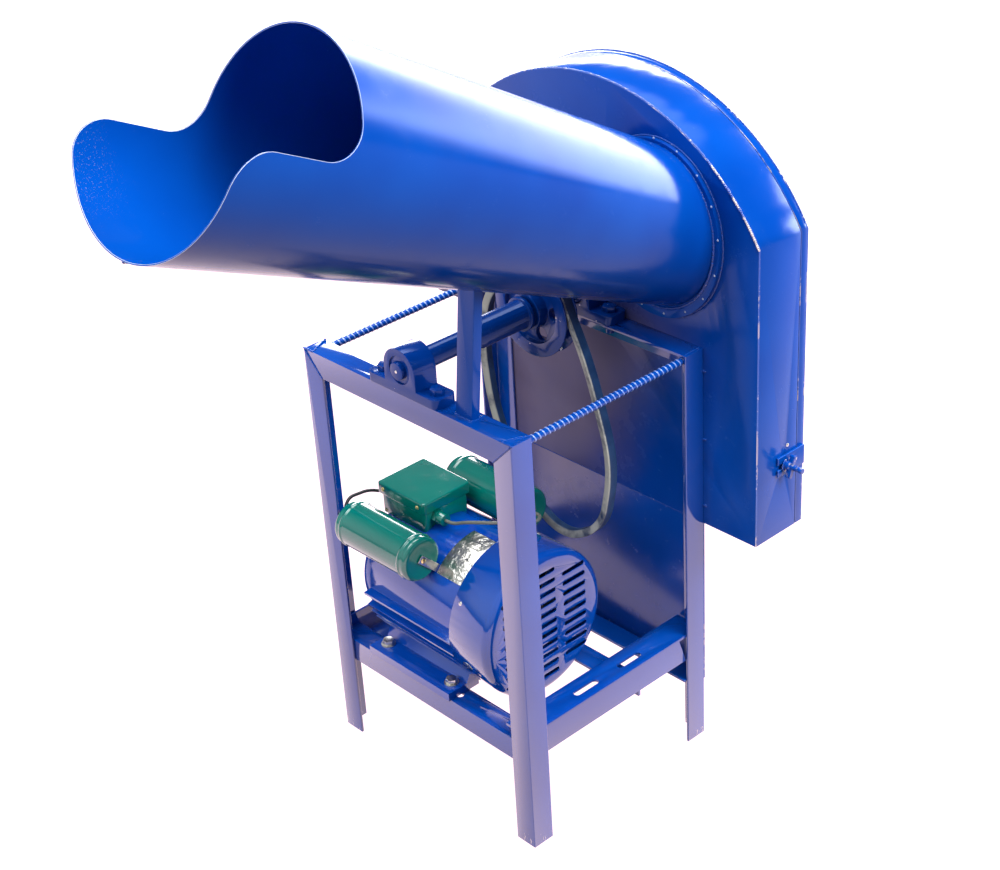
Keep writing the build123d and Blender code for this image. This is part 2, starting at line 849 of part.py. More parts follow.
# Driven pulley: one V groove, a thin web with round windows and a hub with a set screw boss
pulley_front = pulley_place - pulley_width / 2
pulley_back = pulley_place + pulley_width / 2
with BuildPart() as driven_pulley:
    with BuildSketch(shaft_section):
        polygon(
            (pulley_front - pulley_hub_front, shaft_radius),
            (pulley_back + pulley_hub_back, shaft_radius),
            (pulley_back + pulley_hub_back, pulley_hub_radius),
            (pulley_place + pulley_web / 2, pulley_hub_radius),
            (pulley_place + pulley_web / 2, pulley_rim_inner_radius),
            (pulley_back, pulley_rim_inner_radius),
            (pulley_back, pulley_radius),
            (pulley_place + groove_top_width / 2, pulley_radius),
            (pulley_place + groove_bottom_width / 2, pulley_radius - groove_depth),
            (pulley_place - groove_bottom_width / 2, pulley_radius - groove_depth),
            (pulley_place - groove_top_width / 2, pulley_radius),
            (pulley_front, pulley_radius),
            (pulley_front, pulley_rim_inner_radius),
            (pulley_place - pulley_web / 2, pulley_rim_inner_radius),
            (pulley_place - pulley_web / 2, pulley_hub_radius),
            (pulley_front - pulley_hub_front, pulley_hub_radius),
        )
    revolve(axis=shaft_axis)
    with BuildSketch(shaft_face(pulley_front)):
        with PolarLocations((pulley_hub_radius + pulley_rim_inner_radius) / 2, pulley_windows):
            Circle(pulley_window_radius)
    extrude(amount=-pulley_width, mode=Mode.SUBTRACT)
pieces["driven_pulley"] = driven_pulley.part

# Knife disc with a hub behind it, knives in front and paddles behind
pieces["knife_disc"] = ring(shaft_section, shaft_axis, disc_front, disc_back, journal_radius, disc_radius)
pieces["disc_hub"] = ring(shaft_section, shaft_axis, disc_back, hub_back, journal_radius, hub_radius)

for number in range(knife_count):
    turn = 90 + number * 360 / knife_count
    with BuildPart() as knife:
        with BuildSketch(shaft_face(disc_front)):
            with PolarLocations(disc_radius - knife_length / 2 - knife_setback, 1, start_angle=turn):
                Rectangle(knife_length, knife_width)
        extrude(amount=knife_thickness)
        cutting_edge = knife.faces().sort_by(Axis.Y)[0].edges().sort_by(Edge.length)[-1]
        chamfer(cutting_edge, knife_bevel)
    pieces[f"knife_{number + 1}"] = knife.part

# Paddles are bent plates: a foot on the disc's back and a blade that stands on it
with BuildPart() as paddles:
    with BuildSketch(shaft_face(disc_back)):
        with PolarLocations(paddle_inner_radius, paddle_count, start_angle=paddle_turn):
            Rectangle(
                paddle_outer_radius - paddle_inner_radius,
                paddle_wall,
                align=(Align.MIN, Align.MIN),
            )
    extrude(amount=-paddle_depth)
    with BuildSketch(shaft_face(disc_back)):
        with PolarLocations(paddle_inner_radius, paddle_count, start_angle=paddle_turn):
            Rectangle(
                disc_radius - paddle_inner_radius, paddle_foot, align=(Align.MIN, Align.MIN)
            )
    extrude(amount=-paddle_wall)
pieces["paddles"] = paddles.part

# ---- V-belt, hanging slack over the driven pulley ----------------------------------------------
# The belt lies in the groove over the pulley's top and hangs in a free loop below it.
belt_lift = pulley_radius - groove_depth + belt_thickness / 2 + belt_clearance
belt_route = [
    (belt_lift * cos(radians(angle)), belt_lift * sin(radians(angle)))
    for angle in range(150, 0, -15)
]
belt_route += [
    (100, -62),
    (141, -200),
    (118, -312),
    (40, -359),
    (-40, -312),
    (-98, -200),
    (-112, -90),
    (-96, -10),
]
with BuildPart() as v_belt:
    with BuildLine(shaft_face(pulley_place)):
        belt_path = FilletPolyline(
            *belt_route, radius=corner_radii(belt_route, closed=True), close=True
        )
    with BuildSketch(Plane(belt_path @ 0, x_dir=(0, 1, 0), z_dir=belt_path % 0)):
        Trapezoid(belt_width, belt_thickness, belt_flank_angle, rotation=180)
    sweep()
pieces["v_belt"] = v_belt.part

# ---- motor -------------------------------------------------------------------------------------
# Stator housing: a rolled shell with cast fins low on both sides
with BuildPart() as motor_shell:
    with BuildSketch(motor_face(bell_end)):
        Circle(stator_radius)
        for fin_angle in (*fin_angles, *[180 - angle for angle in fin_angles]):
            with PolarLocations(stator_radius - fin_root, 1, start_angle=fin_angle):
                Rectangle(
                    fin_reach - stator_radius + fin_root,
                    fin_thickness,
                    align=(Align.MIN, Align.CENTER),
                )
        Circle(stator_inner_radius, mode=Mode.SUBTRACT)
    extrude(amount=stator_end - bell_end)
pieces["motor_shell"] = motor_shell.part

pieces["stator_core"] = ring(
    motor_section,
    motor_axis,
    bell_end + core_setback,
    stator_end - core_setback,
    core_inner_radius,
    stator_inner_radius,
)

# Cast foot under the shell, hollow in the middle, with a hole at each corner
foot_start = foot_centre - foot_pitch / 2 - foot_overhang
foot_end = foot_centre + foot_pitch / 2 + foot_overhang
foot_bottom = -motor_centre_height
foot_top = foot_bottom + foot_thickness
riser_top = foot_bottom + foot_riser_height
with BuildPart() as motor_foot:
    with BuildSketch(motor_face(foot_start)):
        polygon(
            (-foot_half_width, foot_bottom),
            (foot_half_width, foot_bottom),
            (foot_half_width, foot_top),
            (0.7 * foot_half_width, foot_top),
            (0.5 * foot_half_width, riser_top),
            (-0.5 * foot_half_width, riser_top),
            (-0.7 * foot_half_width, foot_top),
            (-foot_half_width, foot_top),
        )
        Circle(stator_radius, mode=Mode.SUBTRACT)
        with Locations((0, foot_bottom)):
            Rectangle(
                foot_half_width, foot_hollow, align=(Align.CENTER, Align.MIN), mode=Mode.SUBTRACT
            )
    extrude(amount=foot_end - foot_start)
    with BuildSketch(top(front_rail_height)):
        with Locations((foot_centre, motor_y)):
            with GridLocations(foot_pitch, foot_span, 2, 2):
                Circle(motor_bolt_radius + bolt_clearance)
    extrude(amount=2 * foot_thickness, mode=Mode.SUBTRACT)
pieces["motor_foot"] = motor_foot.part

foot_bolt_places = [
    (foot_centre + along * foot_pitch / 2, motor_y + across * foot_span / 2)
    for along in (-1, 1)
    for across in (-1, 1)
]
foot_bolt_length = foot_thickness + bar_wall + 3 * bolt_head_height
with BuildPart() as motor_bolts:
    with BuildSketch(top(front_rail_height + foot_thickness + bolt_head_height)):
        with Locations(*foot_bolt_places):
            Circle(motor_bolt_radius)
    extrude(amount=-foot_bolt_length)
    with BuildSketch(top(front_rail_height + foot_thickness)):
        with Locations(*foot_bolt_places):
            RegularPolygon(bolt_head_ratio * motor_bolt_radius, 6)
    extrude(amount=bolt_head_height)
    with BuildSketch(top(front_rail_height - bar_wall)):
        with Locations(*foot_bolt_places):
            RegularPolygon(bolt_head_ratio * motor_bolt_radius, 6)
    extrude(amount=-bolt_head_height)
pieces["motor_bolts"] = motor_bolts.part

# End bells close the shell and carry the shaft
pieces["drive_bell"] = turned(
    motor_section,
    motor_axis,
    [
        (motor_start, motor_shaft_radius + running_clearance),
        (bell_end, motor_shaft_radius + running_clearance),
        (bell_end, stator_radius),
        (bell_end - 14, stator_radius),
        (bell_end - 38, 0.62 * stator_radius),
        (motor_start + 6, 0.55 * stator_radius),
        (motor_start, 0.34 * stator_radius),
    ],
)
pieces["fan_bell"] = turned(
    motor_section,
    motor_axis,
    [
        (stator_end, motor_shaft_radius + running_clearance),
        (stator_end + 24, motor_shaft_radius + running_clearance),
        (stator_end + 24, 0.4 * stator_radius),
        (stator_end + 10, 0.8 * stator_radius),
        (stator_end + 10, cowl_radius - cowl_wall),
        (stator_end, cowl_radius - cowl_wall),
    ],
)

# Fan cowl: a pressed cup with a rounded edge and columns of level louvre slots
cowl_inside = cowl_radius - cowl_wall
with BuildPart() as fan_cowl:
    with BuildSketch(motor_section):
        polygon((stator_end, 0), (cowl_end, 0), (cowl_end, cowl_radius), (stator_end, cowl_radius))
    revolve(axis=motor_axis)
    rim_edge = fan_cowl.edges().filter_by(GeomType.CIRCLE).sort_by(Axis.X)[-1]
    fillet(rim_edge, cowl_round)
    open_face = fan_cowl.faces().sort_by(Axis.X)[0]
    offset(amount=-cowl_wall, openings=open_face)
    with BuildSketch(motor_face(cowl_end)):
        for column in range(louvre_columns):
            column_y = (column - (louvre_columns - 1) / 2) * louvre_column_pitch
            half_height = sqrt((louvre_field * cowl_radius) ** 2 - column_y**2)
            rows = 2 * int(half_height / louvre_pitch - 0.5) + 1
            with Locations((column_y, 0)):
                with GridLocations(0, louvre_pitch, 1, rows):
                    SlotOverall(louvre_length, louvre_height)
    extrude(amount=-2 * cowl_wall, mode=Mode.SUBTRACT)
pieces["fan_cowl"] = fan_cowl.part

# Motor shaft with its core, and the fan behind the cowl
pieces["motor_shaft"] = turned(
    motor_section,
    motor_axis,
    [
        (motor_start - shaft_end_length, 0),
        (motor_start - shaft_end_length, shaft_end_radius),
        (motor_start, shaft_end_radius),
        (motor_start, motor_shaft_radius),
        (bell_end + core_setback, motor_shaft_radius),
        (bell_end + core_setback, core_inner_radius - air_gap),
        (stator_end - core_setback, core_inner_radius - air_gap),
        (stator_end - core_setback, motor_shaft_radius),
        (stator_end + fan_gap + fan_depth, motor_shaft_radius),
        (stator_end + fan_gap + fan_depth, 0),
    ],
)
with BuildPart() as motor_fan:
    with BuildSketch(motor_face(stator_end + fan_gap)):
        Circle(fan_hub_radius)
        with PolarLocations(fan_hub_radius - fan_blade_thickness, fan_blades):
            Rectangle(fan_blade_length, fan_blade_thickness, align=(Align.MIN, Align.CENTER))
        Circle(motor_shaft_radius, mode=Mode.SUBTRACT)
    extrude(amount=fan_depth)
pieces["motor_fan"] = motor_fan.part

# Terminal box on top of the shell, with a deep overhanging lid and a gland on the right
shell_top = motor_height + stator_radius
lid_bottom = box_top - lid_height
box_start = box_centre_x - box_length / 2
box_end = box_centre_x + box_length / 2
with BuildPart() as terminal_box:
    with BuildSketch(top(lid_bottom)):
        with Locations((box_centre_x, motor_y)):
            RectangleRounded(box_length, box_width, box_corner)
    extrude(amount=-stator_radius / 2)
    with BuildSketch(motor_face(bell_end)):
        Circle(stator_radius)
    extrude(amount=stator_end - bell_end, both=True, mode=Mode.SUBTRACT)
    with BuildSketch(top(lid_bottom)):
        with Locations((box_centre_x, motor_y)):
            RectangleRounded(
                box_length - 2 * box_wall, box_width - 2 * box_wall, box_corner - box_edge
            )
    extrude(amount=-(lid_bottom - shell_top) / 2, mode=Mode.SUBTRACT)
pieces["terminal_box"] = terminal_box.part

with BuildPart() as terminal_lid:
    with BuildSketch(top(lid_bottom)):
        with Locations((box_centre_x, motor_y)):
            RectangleRounded(
                box_length + 2 * lid_overhang, box_width + 2 * lid_overhang, box_corner
            )
    extrude(amount=lid_height)
    fillet(terminal_lid.faces().sort_by(Axis.Z)[-1].edges(), box_edge)
pieces["terminal_lid"] = terminal_lid.part

gland_hex = 1.25 * gland_radius
gland_height = lid_bottom - gland_hex - box_play
gland_y = motor_y - 20
gland_end = box_end + gland_collar
with BuildPart() as cable_gland:
    with BuildSketch(side(box_end)):
        with Locations((gland_y, gland_height)):
            RegularPolygon(gland_hex, 6)
            Circle(lead_radius, mode=Mode.SUBTRACT)
    extrude(amount=gland_collar)
    with BuildSketch(side(gland_end)):
        with Locations((gland_y, gland_height)):
            Circle(gland_radius)
            Circle(lead_radius, mode=Mode.SUBTRACT)
    extrude(amount=gland_length - gland_collar)
pieces["cable_gland"] = cable_gland.part

# Capacitors in closed cans high on both sides of the shell, each on two flat straps
can_distance = stator_radius + capacitor_radius + capacitor_clearance
cans = {
    "capacitor_front": (capacitor_front_start, 180 - capacitor_front_angle),
    "capacitor_rear": (capacitor_rear_start, capacitor_rear_angle),
}
for name, (can_start, around) in cans.items():
    with BuildPart() as capacitor:
        with BuildSketch(motor_face(can_start)):
            with PolarLocations(can_distance, 1, start_angle=around):
                Circle(capacitor_radius)
        extrude(amount=capacitor_length)
        fillet(capacitor.edges().filter_by(GeomType.CIRCLE), capacitor_edge)
    pieces[name] = capacitor.part

strap_ends = [
    (capacitor_front_start + capacitor_length, 180 - capacitor_front_angle, 1),
    (capacitor_rear_start + capacitor_length, capacitor_rear_angle, 1),
    (capacitor_rear_start, capacitor_rear_angle, -1),
]
with BuildPart() as capacitor_straps:
    for strap_x, around, way in strap_ends:
        with BuildSketch(motor_face(strap_x)):
            with PolarLocations(stator_radius, 1, start_angle=around):
                Rectangle(
                    capacitor_radius + capacitor_clearance + strap_overlap,
                    strap_width,
                    align=(Align.MIN, Align.CENTER),
                )
        extrude(amount=way * strap_thickness)
    with BuildSketch(motor_face(bell_end - strap_width)):
        with PolarLocations(stator_radius, 1, start_angle=180 - capacitor_front_angle):
            Rectangle(capacitor_clearance, strap_width, align=(Align.MIN, Align.CENTER))
    extrude(amount=strap_width)
pieces["capacitor_straps"] = capacitor_straps.part

# Leads: one from the gland to the rear capacitor, one from the front capacitor to the box
rear_y = motor_y + can_distance * cos(radians(capacitor_rear_angle))
rear_z = motor_height + can_distance * sin(radians(capacitor_rear_angle))
front_y = motor_y - can_distance * cos(radians(capacitor_front_angle))
front_z = motor_height + can_distance * sin(radians(capacitor_front_angle)) + capacitor_radius / 2
rear_end = capacitor_rear_start + capacitor_length
lead_level = (lid_bottom + shell_top) / 2
entry_y = motor_y - box_width / 3
lead_routes = {
    "lead_rear": [
        (gland_end, gland_y, gland_height),
        (gland_end + 26, gland_y, gland_height),
        (gland_end + 50, gland_y + 6, gland_height + 10),
        (rear_end + 24, motor_y + 4, gland_height + 22),
        (rear_end + 34, motor_y + 36, gland_height + 18),
        (rear_end + 34, rear_y - 22, rear_z + 6),
        (rear_end + 20, rear_y, rear_z),
        (rear_end + strap_thickness, rear_y, rear_z),
    ],
    "lead_front": [
        (capacitor_front_start, front_y, front_z),
        (capacitor_front_start - 13, front_y, front_z),
        (capacitor_front_start - 18, front_y + 14, front_z + 10),
        (box_start - 22, entry_y - 20, lead_level + 8),
        (box_start - 14, entry_y, lead_level),
        (box_start, entry_y, lead_level),
    ],
}
for name, lead_route in lead_routes.items():
    with BuildPart() as lead:
        with BuildLine():
            lead_path = FilletPolyline(
                *[(x - origin_x, y - origin_y, z) for x, y, z in lead_route],
                radius=corner_radii(lead_route),
            )
        with BuildSketch(Plane(lead_path @ 0, z_dir=lead_path % 0)):
            Circle(lead_radius)
        sweep()
    pieces[name] = lead.part
    drawn = sum(edge.length for edge in lead_path.edges())
    print(name, "length", round(drawn), "radii", [round(radius) for radius in corner_radii(lead_route)])

# A blank plate wrapped on the shell's upper front, between the box and the cowl
with BuildPart() as data_plate:
    with BuildSketch(motor_face(stator_end - plate_length - plate_setback)):
        Circle(stator_radius + plate_thickness)
        Circle(stator_radius, mode=Mode.SUBTRACT)
        Polygon((0, 0), (0, 150), (-130, 110), align=None, mode=Mode.INTERSECT)
    extrude(amount=plate_length)
pieces["data_plate"] = data_plate.part

for name, piece in pieces.items():
    piece.label = name

os.makedirs("parts", exist_ok=True)
for name, piece in pieces.items():
    export_step(piece, f"parts/{name}.step")
print(len(pieces), "pieces, origin at", origin_x, origin_y)
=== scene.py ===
"""The looks of an electric stalk chopper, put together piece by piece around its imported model."""
from math import cos, pi, radians, sin, tan

import bmesh
import bpy
from mathutils import Matrix, Vector


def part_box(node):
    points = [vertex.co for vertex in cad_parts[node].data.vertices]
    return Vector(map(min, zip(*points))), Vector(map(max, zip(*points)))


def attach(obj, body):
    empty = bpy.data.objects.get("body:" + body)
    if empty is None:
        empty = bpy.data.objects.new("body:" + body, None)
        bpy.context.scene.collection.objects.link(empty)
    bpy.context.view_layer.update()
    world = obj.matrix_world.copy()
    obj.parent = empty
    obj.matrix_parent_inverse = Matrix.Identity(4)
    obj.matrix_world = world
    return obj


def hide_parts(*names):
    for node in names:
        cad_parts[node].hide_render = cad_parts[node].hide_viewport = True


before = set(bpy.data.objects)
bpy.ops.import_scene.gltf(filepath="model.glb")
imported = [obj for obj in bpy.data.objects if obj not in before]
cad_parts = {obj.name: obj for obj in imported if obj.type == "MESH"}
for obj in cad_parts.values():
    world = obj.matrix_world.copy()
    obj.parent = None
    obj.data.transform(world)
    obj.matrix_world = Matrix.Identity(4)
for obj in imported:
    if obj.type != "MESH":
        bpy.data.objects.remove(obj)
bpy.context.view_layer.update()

# ---- studio --------------------------------------------------------------------------------------
# A glowing white floor runs into a low bright backdrop behind the machine, which draws the white
# bands on the tube and the arch. One bright patch straight overhead lights the level faces.
camera_turn, camera_drop, camera_roll = radians(48.48), radians(29.22), radians(-3.59)
camera_place = Vector((1.7492, -1.3746, 1.8334))
lens_back = Vector(
    (sin(camera_turn) * cos(camera_drop), -cos(camera_turn) * cos(camera_drop), sin(camera_drop))
)
level_right = Vector((cos(camera_turn), sin(camera_turn), 0))
level_up = lens_back.cross(level_right)
lens_right = cos(camera_roll) * level_right + sin(camera_roll) * level_up
lens_up = lens_back.cross(lens_right)
camera = bpy.data.objects.new("camera", bpy.data.cameras.new("camera"))
camera.data.lens = 68.45
camera.data.sensor_width = 36
camera.data.shift_x = -0.0011
camera.data.shift_y = -0.0064
camera.data.clip_end = 100
camera_axes = Matrix((lens_right, lens_up, lens_back)).transposed().to_4x4()
camera.matrix_world = Matrix.Translation(camera_place) @ camera_axes
bpy.context.scene.collection.objects.link(camera)
bpy.context.scene.camera = camera
bpy.context.scene.view_settings.view_transform = "Standard"


class Socket:
    """One output of a node. An expression on sockets adds its Math nodes."""

    def __init__(self, graph, output):
        self.graph, self.output = graph, output

    def math(self, operation, *values):
        return self.graph.node("ShaderNodeMath", {"operation": operation}, dict(enumerate(values)))

    def __add__(self, other):
        return self.math("ADD", self, other)

    def __sub__(self, other):
        return self.math("SUBTRACT", self, other)

    def __rsub__(self, other):
        return self.math("SUBTRACT", other, self)

    def __mul__(self, other):
        return self.math("MULTIPLY", self, other)

    def __truediv__(self, other):
        return self.math("DIVIDE", self, other)

    def __pow__(self, other):
        return self.math("POWER", self, other)

    __radd__ = __add__
    __rmul__ = __mul__

    def between(self, low, high):
        """Smooth rise from 0 at low to 1 at high."""
        return self.graph.node(
            "ShaderNodeMapRange", {"interpolation_type": "SMOOTHSTEP"}, {0: self, 1: low, 2: high}
        )


class Graph:
    """A node tree that is written node by node."""

    def __init__(self, tree):
        self.tree = tree

    def join(self, value, socket):
        if isinstance(value, Socket):
            self.tree.links.new(value.output, socket)
        else:
            socket.default_value = value

    def node(self, kind, settings=(), inputs=(), output=0):
        """Adds a node, sets it up, fills its sockets and gives one output."""
        made = self.tree.nodes.new(kind)
        for name, value in dict(settings).items():
            setattr(made, name, value)
        for key, value in dict(inputs).items():
            self.join(value, made.inputs[key])
        return Socket(self, made.outputs[output])

    def mix(self, share, first, second):
        """A blend of two colours."""
        return self.node(
            "ShaderNodeMix", {"data_type": "RGBA"}, {0: share, 6: first, 7: second}, output=2
        )

    def noise(self, spot, scale, detail=2, roughness=0.5):
        """Cloudy noise between 0 and 1, with scale in cells per metre."""
        return self.node(
            "ShaderNodeTexNoise", {}, {"Vector": spot, "Scale": scale, "Detail": detail, "Roughness": roughness}
        )

    def stretched(self, spot, x, y, z):
        """The place multiplied by a number along each axis."""
        return self.node("ShaderNodeVectorMath", {"operation": "MULTIPLY"}, {0: spot, 1: (x, y, z)})

    def part(self, vector, axis):
        """One number of a vector."""
        return self.node("ShaderNodeSeparateXYZ", {}, {0: vector}, output="XYZ".index(axis))


def soft_box(name, spot, aim, side, watts, tint):
    """A square studio light that only adds soft light and draws no highlight."""
    light = bpy.data.lights.new(name, "AREA")
    light.size, light.energy, light.color = side, watts, tint
    lamp = bpy.data.objects.new(name, light)
    direction = Vector(aim) - Vector(spot)
    lamp.matrix_world = Matrix.Translation(spot) @ direction.to_track_quat("-Z", "Y").to_matrix().to_4x4()
    lamp.visible_camera = False
    lamp.visible_glossy = False
    bpy.context.scene.collection.objects.link(lamp)


soft_box("fill_front", (-0.6, -3.0, 1.9), (0, 0, 0.6), 2.0, 42, (1, 0.97, 0.98))
soft_box("fill_right", (2.6, 0.9, 2.6), (0, 0, 0.6), 1.6, 115, (0.97, 0.98, 1))

backdrop = bpy.data.worlds.new("backdrop")
backdrop.use_nodes = True
bpy.context.scene.world = backdrop
air = Graph(backdrop.node_tree)
ahead = air.node("ShaderNodeTexCoord", {}, {}, output="Generated")
rise, depth_way, side_way = air.part(ahead, "Z"), air.part(ahead, "Y"), air.part(ahead, "X")
behind = (
    rise.between(-0.02, 0.02)
    * depth_way.between(0.25, 0.6)
    * (1 - (side_way - 0.4 * depth_way).between(-0.05, 0.12))
)
low_band = behind * (1 - rise.between(0.2, 0.34))
zenith = rise.between(0.78, 0.92)
backdrop_light = air.mix(rise.between(-0.05, 0.05), (0.16, 0.14, 0.16, 1), (0.1, 0.1, 0.13, 1))
in_front = (0 - depth_way).between(0.1, 0.7) * rise.between(0.0, 0.2)
backdrop_light = air.mix(in_front, backdrop_light, (0.7, 0.7, 0.75, 1))
backdrop_light = air.mix(low_band, backdrop_light, (13, 13, 13.4, 1))
backdrop_light = air.mix(zenith, backdrop_light, (6.6, 6.6, 6.7, 1))
air.join(backdrop_light, backdrop.node_tree.nodes["Background"].inputs["Color"])

floor_half = 30
floor_mesh = bpy.data.meshes.new("floor")
floor_mesh.from_pydata(
    [(x * floor_half, y * floor_half, -0.0004) for x, y in ((-1, -1), (1, -1), (1, 1), (-1, 1))],
    [],
    [(0, 1, 2, 3)],
)
floor = bpy.data.objects.new("floor", floor_mesh)
bpy.context.scene.collection.objects.link(floor)
floor.visible_diffuse = False


class Finish(Graph):
    """A material on one shader, with constants set on the shader's own sockets."""

    def __init__(self, name, constants):
        self.material = bpy.data.materials.new(name)
        self.material.use_nodes = True
        super().__init__(self.material.node_tree)
        self.shader = self.tree.nodes["Principled BSDF"]
        for socket, value in constants.items():
            self.shader.inputs[socket].default_value = value
        self.spot = self.node("ShaderNodeTexCoord", {}, {}, output="Object")

    def set(self, socket, value):
        self.join(value, self.shader.inputs[socket])

    def relief(self, height):
        """Bump from a height in metres."""
        self.set("Normal", self.node("ShaderNodeBump", {}, {"Height": height, "Distance": 1.0}))


pale = Finish(
    "floor_paint", {"Base Color": (0.1, 0.09, 0.1, 1), "Specular IOR Level": 0.0, "Emission Strength": 1.0}
)
floor_y, floor_x = pale.part(pale.spot, "Y"), pale.part(pale.spot, "X")
far_back = floor_y.between(0.9, 2.2) * (1 - (floor_x - 0.4 * floor_y).between(-0.2, 0.3))
pale.set("Emission Color", pale.mix(far_back, (1.4, 1.05, 1.15, 1), (1.6, 1.5, 1.6, 1)))
pale.set("Roughness", 0.55 + 0.2 * pale.noise(pale.spot, 6, 3))
floor_mesh.materials.append(pale.material)

# ---- frame of angle bars ---------------------------------------------------------------------------
# Rolled steel angle, cut, welded and sprayed with one glossy blue enamel. The enamel shows a light
# orange peel, slow waves where the brush of the spray passed, dust, and bare steel at the feet.
mm = 0.001
foot_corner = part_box("leg_front_left")[0]


def place(x, y, z):
    """A point given in millimetres from the foot of the front left leg: right, back and up."""
    return foot_corner + Vector((x, y, z)) * mm


deep_blue, bright_blue = (0.0005, 0.040, 0.28, 1), (0.0006, 0.066, 0.38, 1)
# The brown-grey below is a painted reflection of the floor, used on the sheet behind the belt. The grey is real
# dust.
bare_metal, dust_grey, reflection_brown = (0.62, 0.6, 0.58, 1), (0.16, 0.2, 0.34, 1), (0.2, 0.14, 0.15, 1)


def enamel(
    name, deep, bright, wave=0.00022, wave_scale=7, peel=0.000004, grain=0.0, roughness=0.09,
    coat=1.0, shine=0.5, tint=(1, 1, 1, 1), wear=None, painted_reflection_film=None,
):
    """Glossy enamel. wave, peel and grain are heights in metres, and wear is a mask of bare spots."""
    finish = Finish(
        name,
        {
            "IOR": 1.5,
            "Specular IOR Level": shine,
            "Specular Tint": tint,
            "Coat Weight": coat,
            "Coat Roughness": 0.06,
            "Coat IOR": 1.5,
        },
    )
    broad = finish.noise(finish.spot, 3.1, 3)
    blotch = finish.noise(finish.spot, 38, 4, 0.6)
    speck = finish.noise(finish.spot, 900, 1)
    colour = finish.mix(broad.between(0.3, 0.7), deep, bright)
    dust = blotch.between(0.56, 0.8) * speck.between(0.5, 0.8)
    colour = finish.mix(dust * 0.12, colour, dust_grey)
    rough = roughness + 0.1 * blotch.between(0.45, 0.8) + 0.2 * dust
    relief = wave * finish.noise(finish.spot, wave_scale, 1) + peel * finish.noise(finish.spot, 620, 1)
    if grain:
        relief = relief + grain * finish.noise(finish.spot, 340, 3, 0.65)
    # The film is a painted brown-grey reflection of the floor, mixed into the colour and made rougher.
    if painted_reflection_film:
        film = painted_reflection_film(finish)
        colour = finish.mix(film, colour, reflection_brown)
        rough = rough + 0.2 * film
    if wear:
        bare = wear(finish)
        colour = finish.mix(bare, colour, bare_metal)
        rough = rough + bare * 0.25
        relief = relief - bare * 0.00006
        finish.set("Metallic", bare)
        finish.set("Coat Weight", coat - coat * bare)
    finish.set("Base Color", colour)
    finish.set("Roughness", rough)
    finish.relief(relief)
    return finish.material


def scuffed_feet(finish):
    """Bare and scratched steel on the last few centimetres above the floor."""
    near_floor = 1 - finish.part(finish.spot, "Z").between(0.004, 0.05)
    scratch = finish.noise(finish.stretched(finish.spot, 3, 3, 0.5), 120, 4, 0.7)
    return (near_floor * 0.3 + scratch).between(0.88, 0.92)


def applied(rough_piece, name):
    """A piece with its modifiers made plain, as a new object at the origin."""
    bpy.context.view_layer.update()
    graph = bpy.context.evaluated_depsgraph_get()
    mesh = bpy.data.meshes.new_from_object(rough_piece.evaluated_get(graph), depsgraph=graph)
    bpy.data.objects.remove(rough_piece)
    mesh.name = name
    piece = bpy.data.objects.new(name, mesh)
    bpy.context.scene.collection.objects.link(piece)
    return piece


def finish_piece(name, mesh, material, body, stands_for=(), bevel=0.0, segments=2, crease=32, edge=None):
    """Rounds a piece's sharp edges, shades it, and puts it on its body. edge is the rounding's own paint."""
    mesh.materials.clear()
    for paint in (material, edge or material):
        mesh.materials.append(paint)
    rough_piece = bpy.data.objects.new(name + "_rough", mesh)
    bpy.context.scene.collection.objects.link(rough_piece)
    mesh.polygons.foreach_set("use_smooth", [True] * len(mesh.polygons))
    if bevel:
        rounding = rough_piece.modifiers.new("rounding", "BEVEL")
        rounding.width, rounding.segments = bevel * mm, segments
        rounding.limit_method, rounding.angle_limit = "ANGLE", radians(crease)
        rounding.harden_normals = True
        rounding.material = 1 if edge else 0
    piece = applied(rough_piece, name)
    if not bevel:
        piece.data.set_sharp_from_angle(angle=radians(crease))
    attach(piece, body)
    if stands_for:
        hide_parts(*stands_for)
    return piece


def rounded_copy(node, material, body, bevel=0.8, segments=2, crease=32, edge=None):
    """A copy of a modelled piece with its edges rounded, which stands for it."""
    shape = bmesh.new()
    shape.from_mesh(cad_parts[node].data)
    bmesh.ops.remove_doubles(shape, verts=shape.verts, dist=0.00002)
    bmesh.ops.dissolve_limit(
        shape, angle_limit=radians(0.4), verts=shape.verts, edges=shape.edges, use_dissolve_boundaries=False
    )
    mesh = bpy.data.meshes.new(node)
    shape.to_mesh(mesh)
    shape.free()
    return finish_piece(node + "_looks", mesh, material, body, (node,), bevel, segments, crease, edge)


bar_paint = enamel("bar_enamel", deep_blue, bright_blue, wave=0.00012, wave_scale=14, wear=scuffed_feet)
bars = [
    "leg_front_left",
    "leg_front_right",
    "leg_rear_left",
    "leg_rear_right",
    "rail_top_front",
    "rail_top_rear",
    "rail_low_front",
    "rail_low_left",
    "rail_low_right",
    "rail_low_rear",
    "motor_cross_bar",
]
for bar in bars:
    rounded_copy(bar, bar_paint, "frame", bevel=1.1)

# ---- weld beads ------------------------------------------------------------------------------------
# Where two bars or two sheets meet, an arc weld leaves a row of overlapping puddles. The enamel
# covers them, and it has chipped off the highest ones.
def chipped(finish):
    """Bare weld metal on scattered high spots."""
    return (finish.noise(finish.spot, 95, 3, 0.7) + 0.35 * finish.noise(finish.spot, 11, 1)).between(0.86, 0.9)


bead_paint = enamel("bead_enamel", deep_blue, bright_blue, grain=0.00005, coat=0.3, shine=0.3, wear=chipped)
chipped_edge = enamel(
    "chipped_edge",
    deep_blue,
    bright_blue,
    grain=0.00008,
    wear=lambda finish: (
        finish.noise(finish.spot, 70, 4, 0.75) + 0.3 * finish.noise(finish.spot, 9, 1)
    ).between(0.73, 0.78),
)


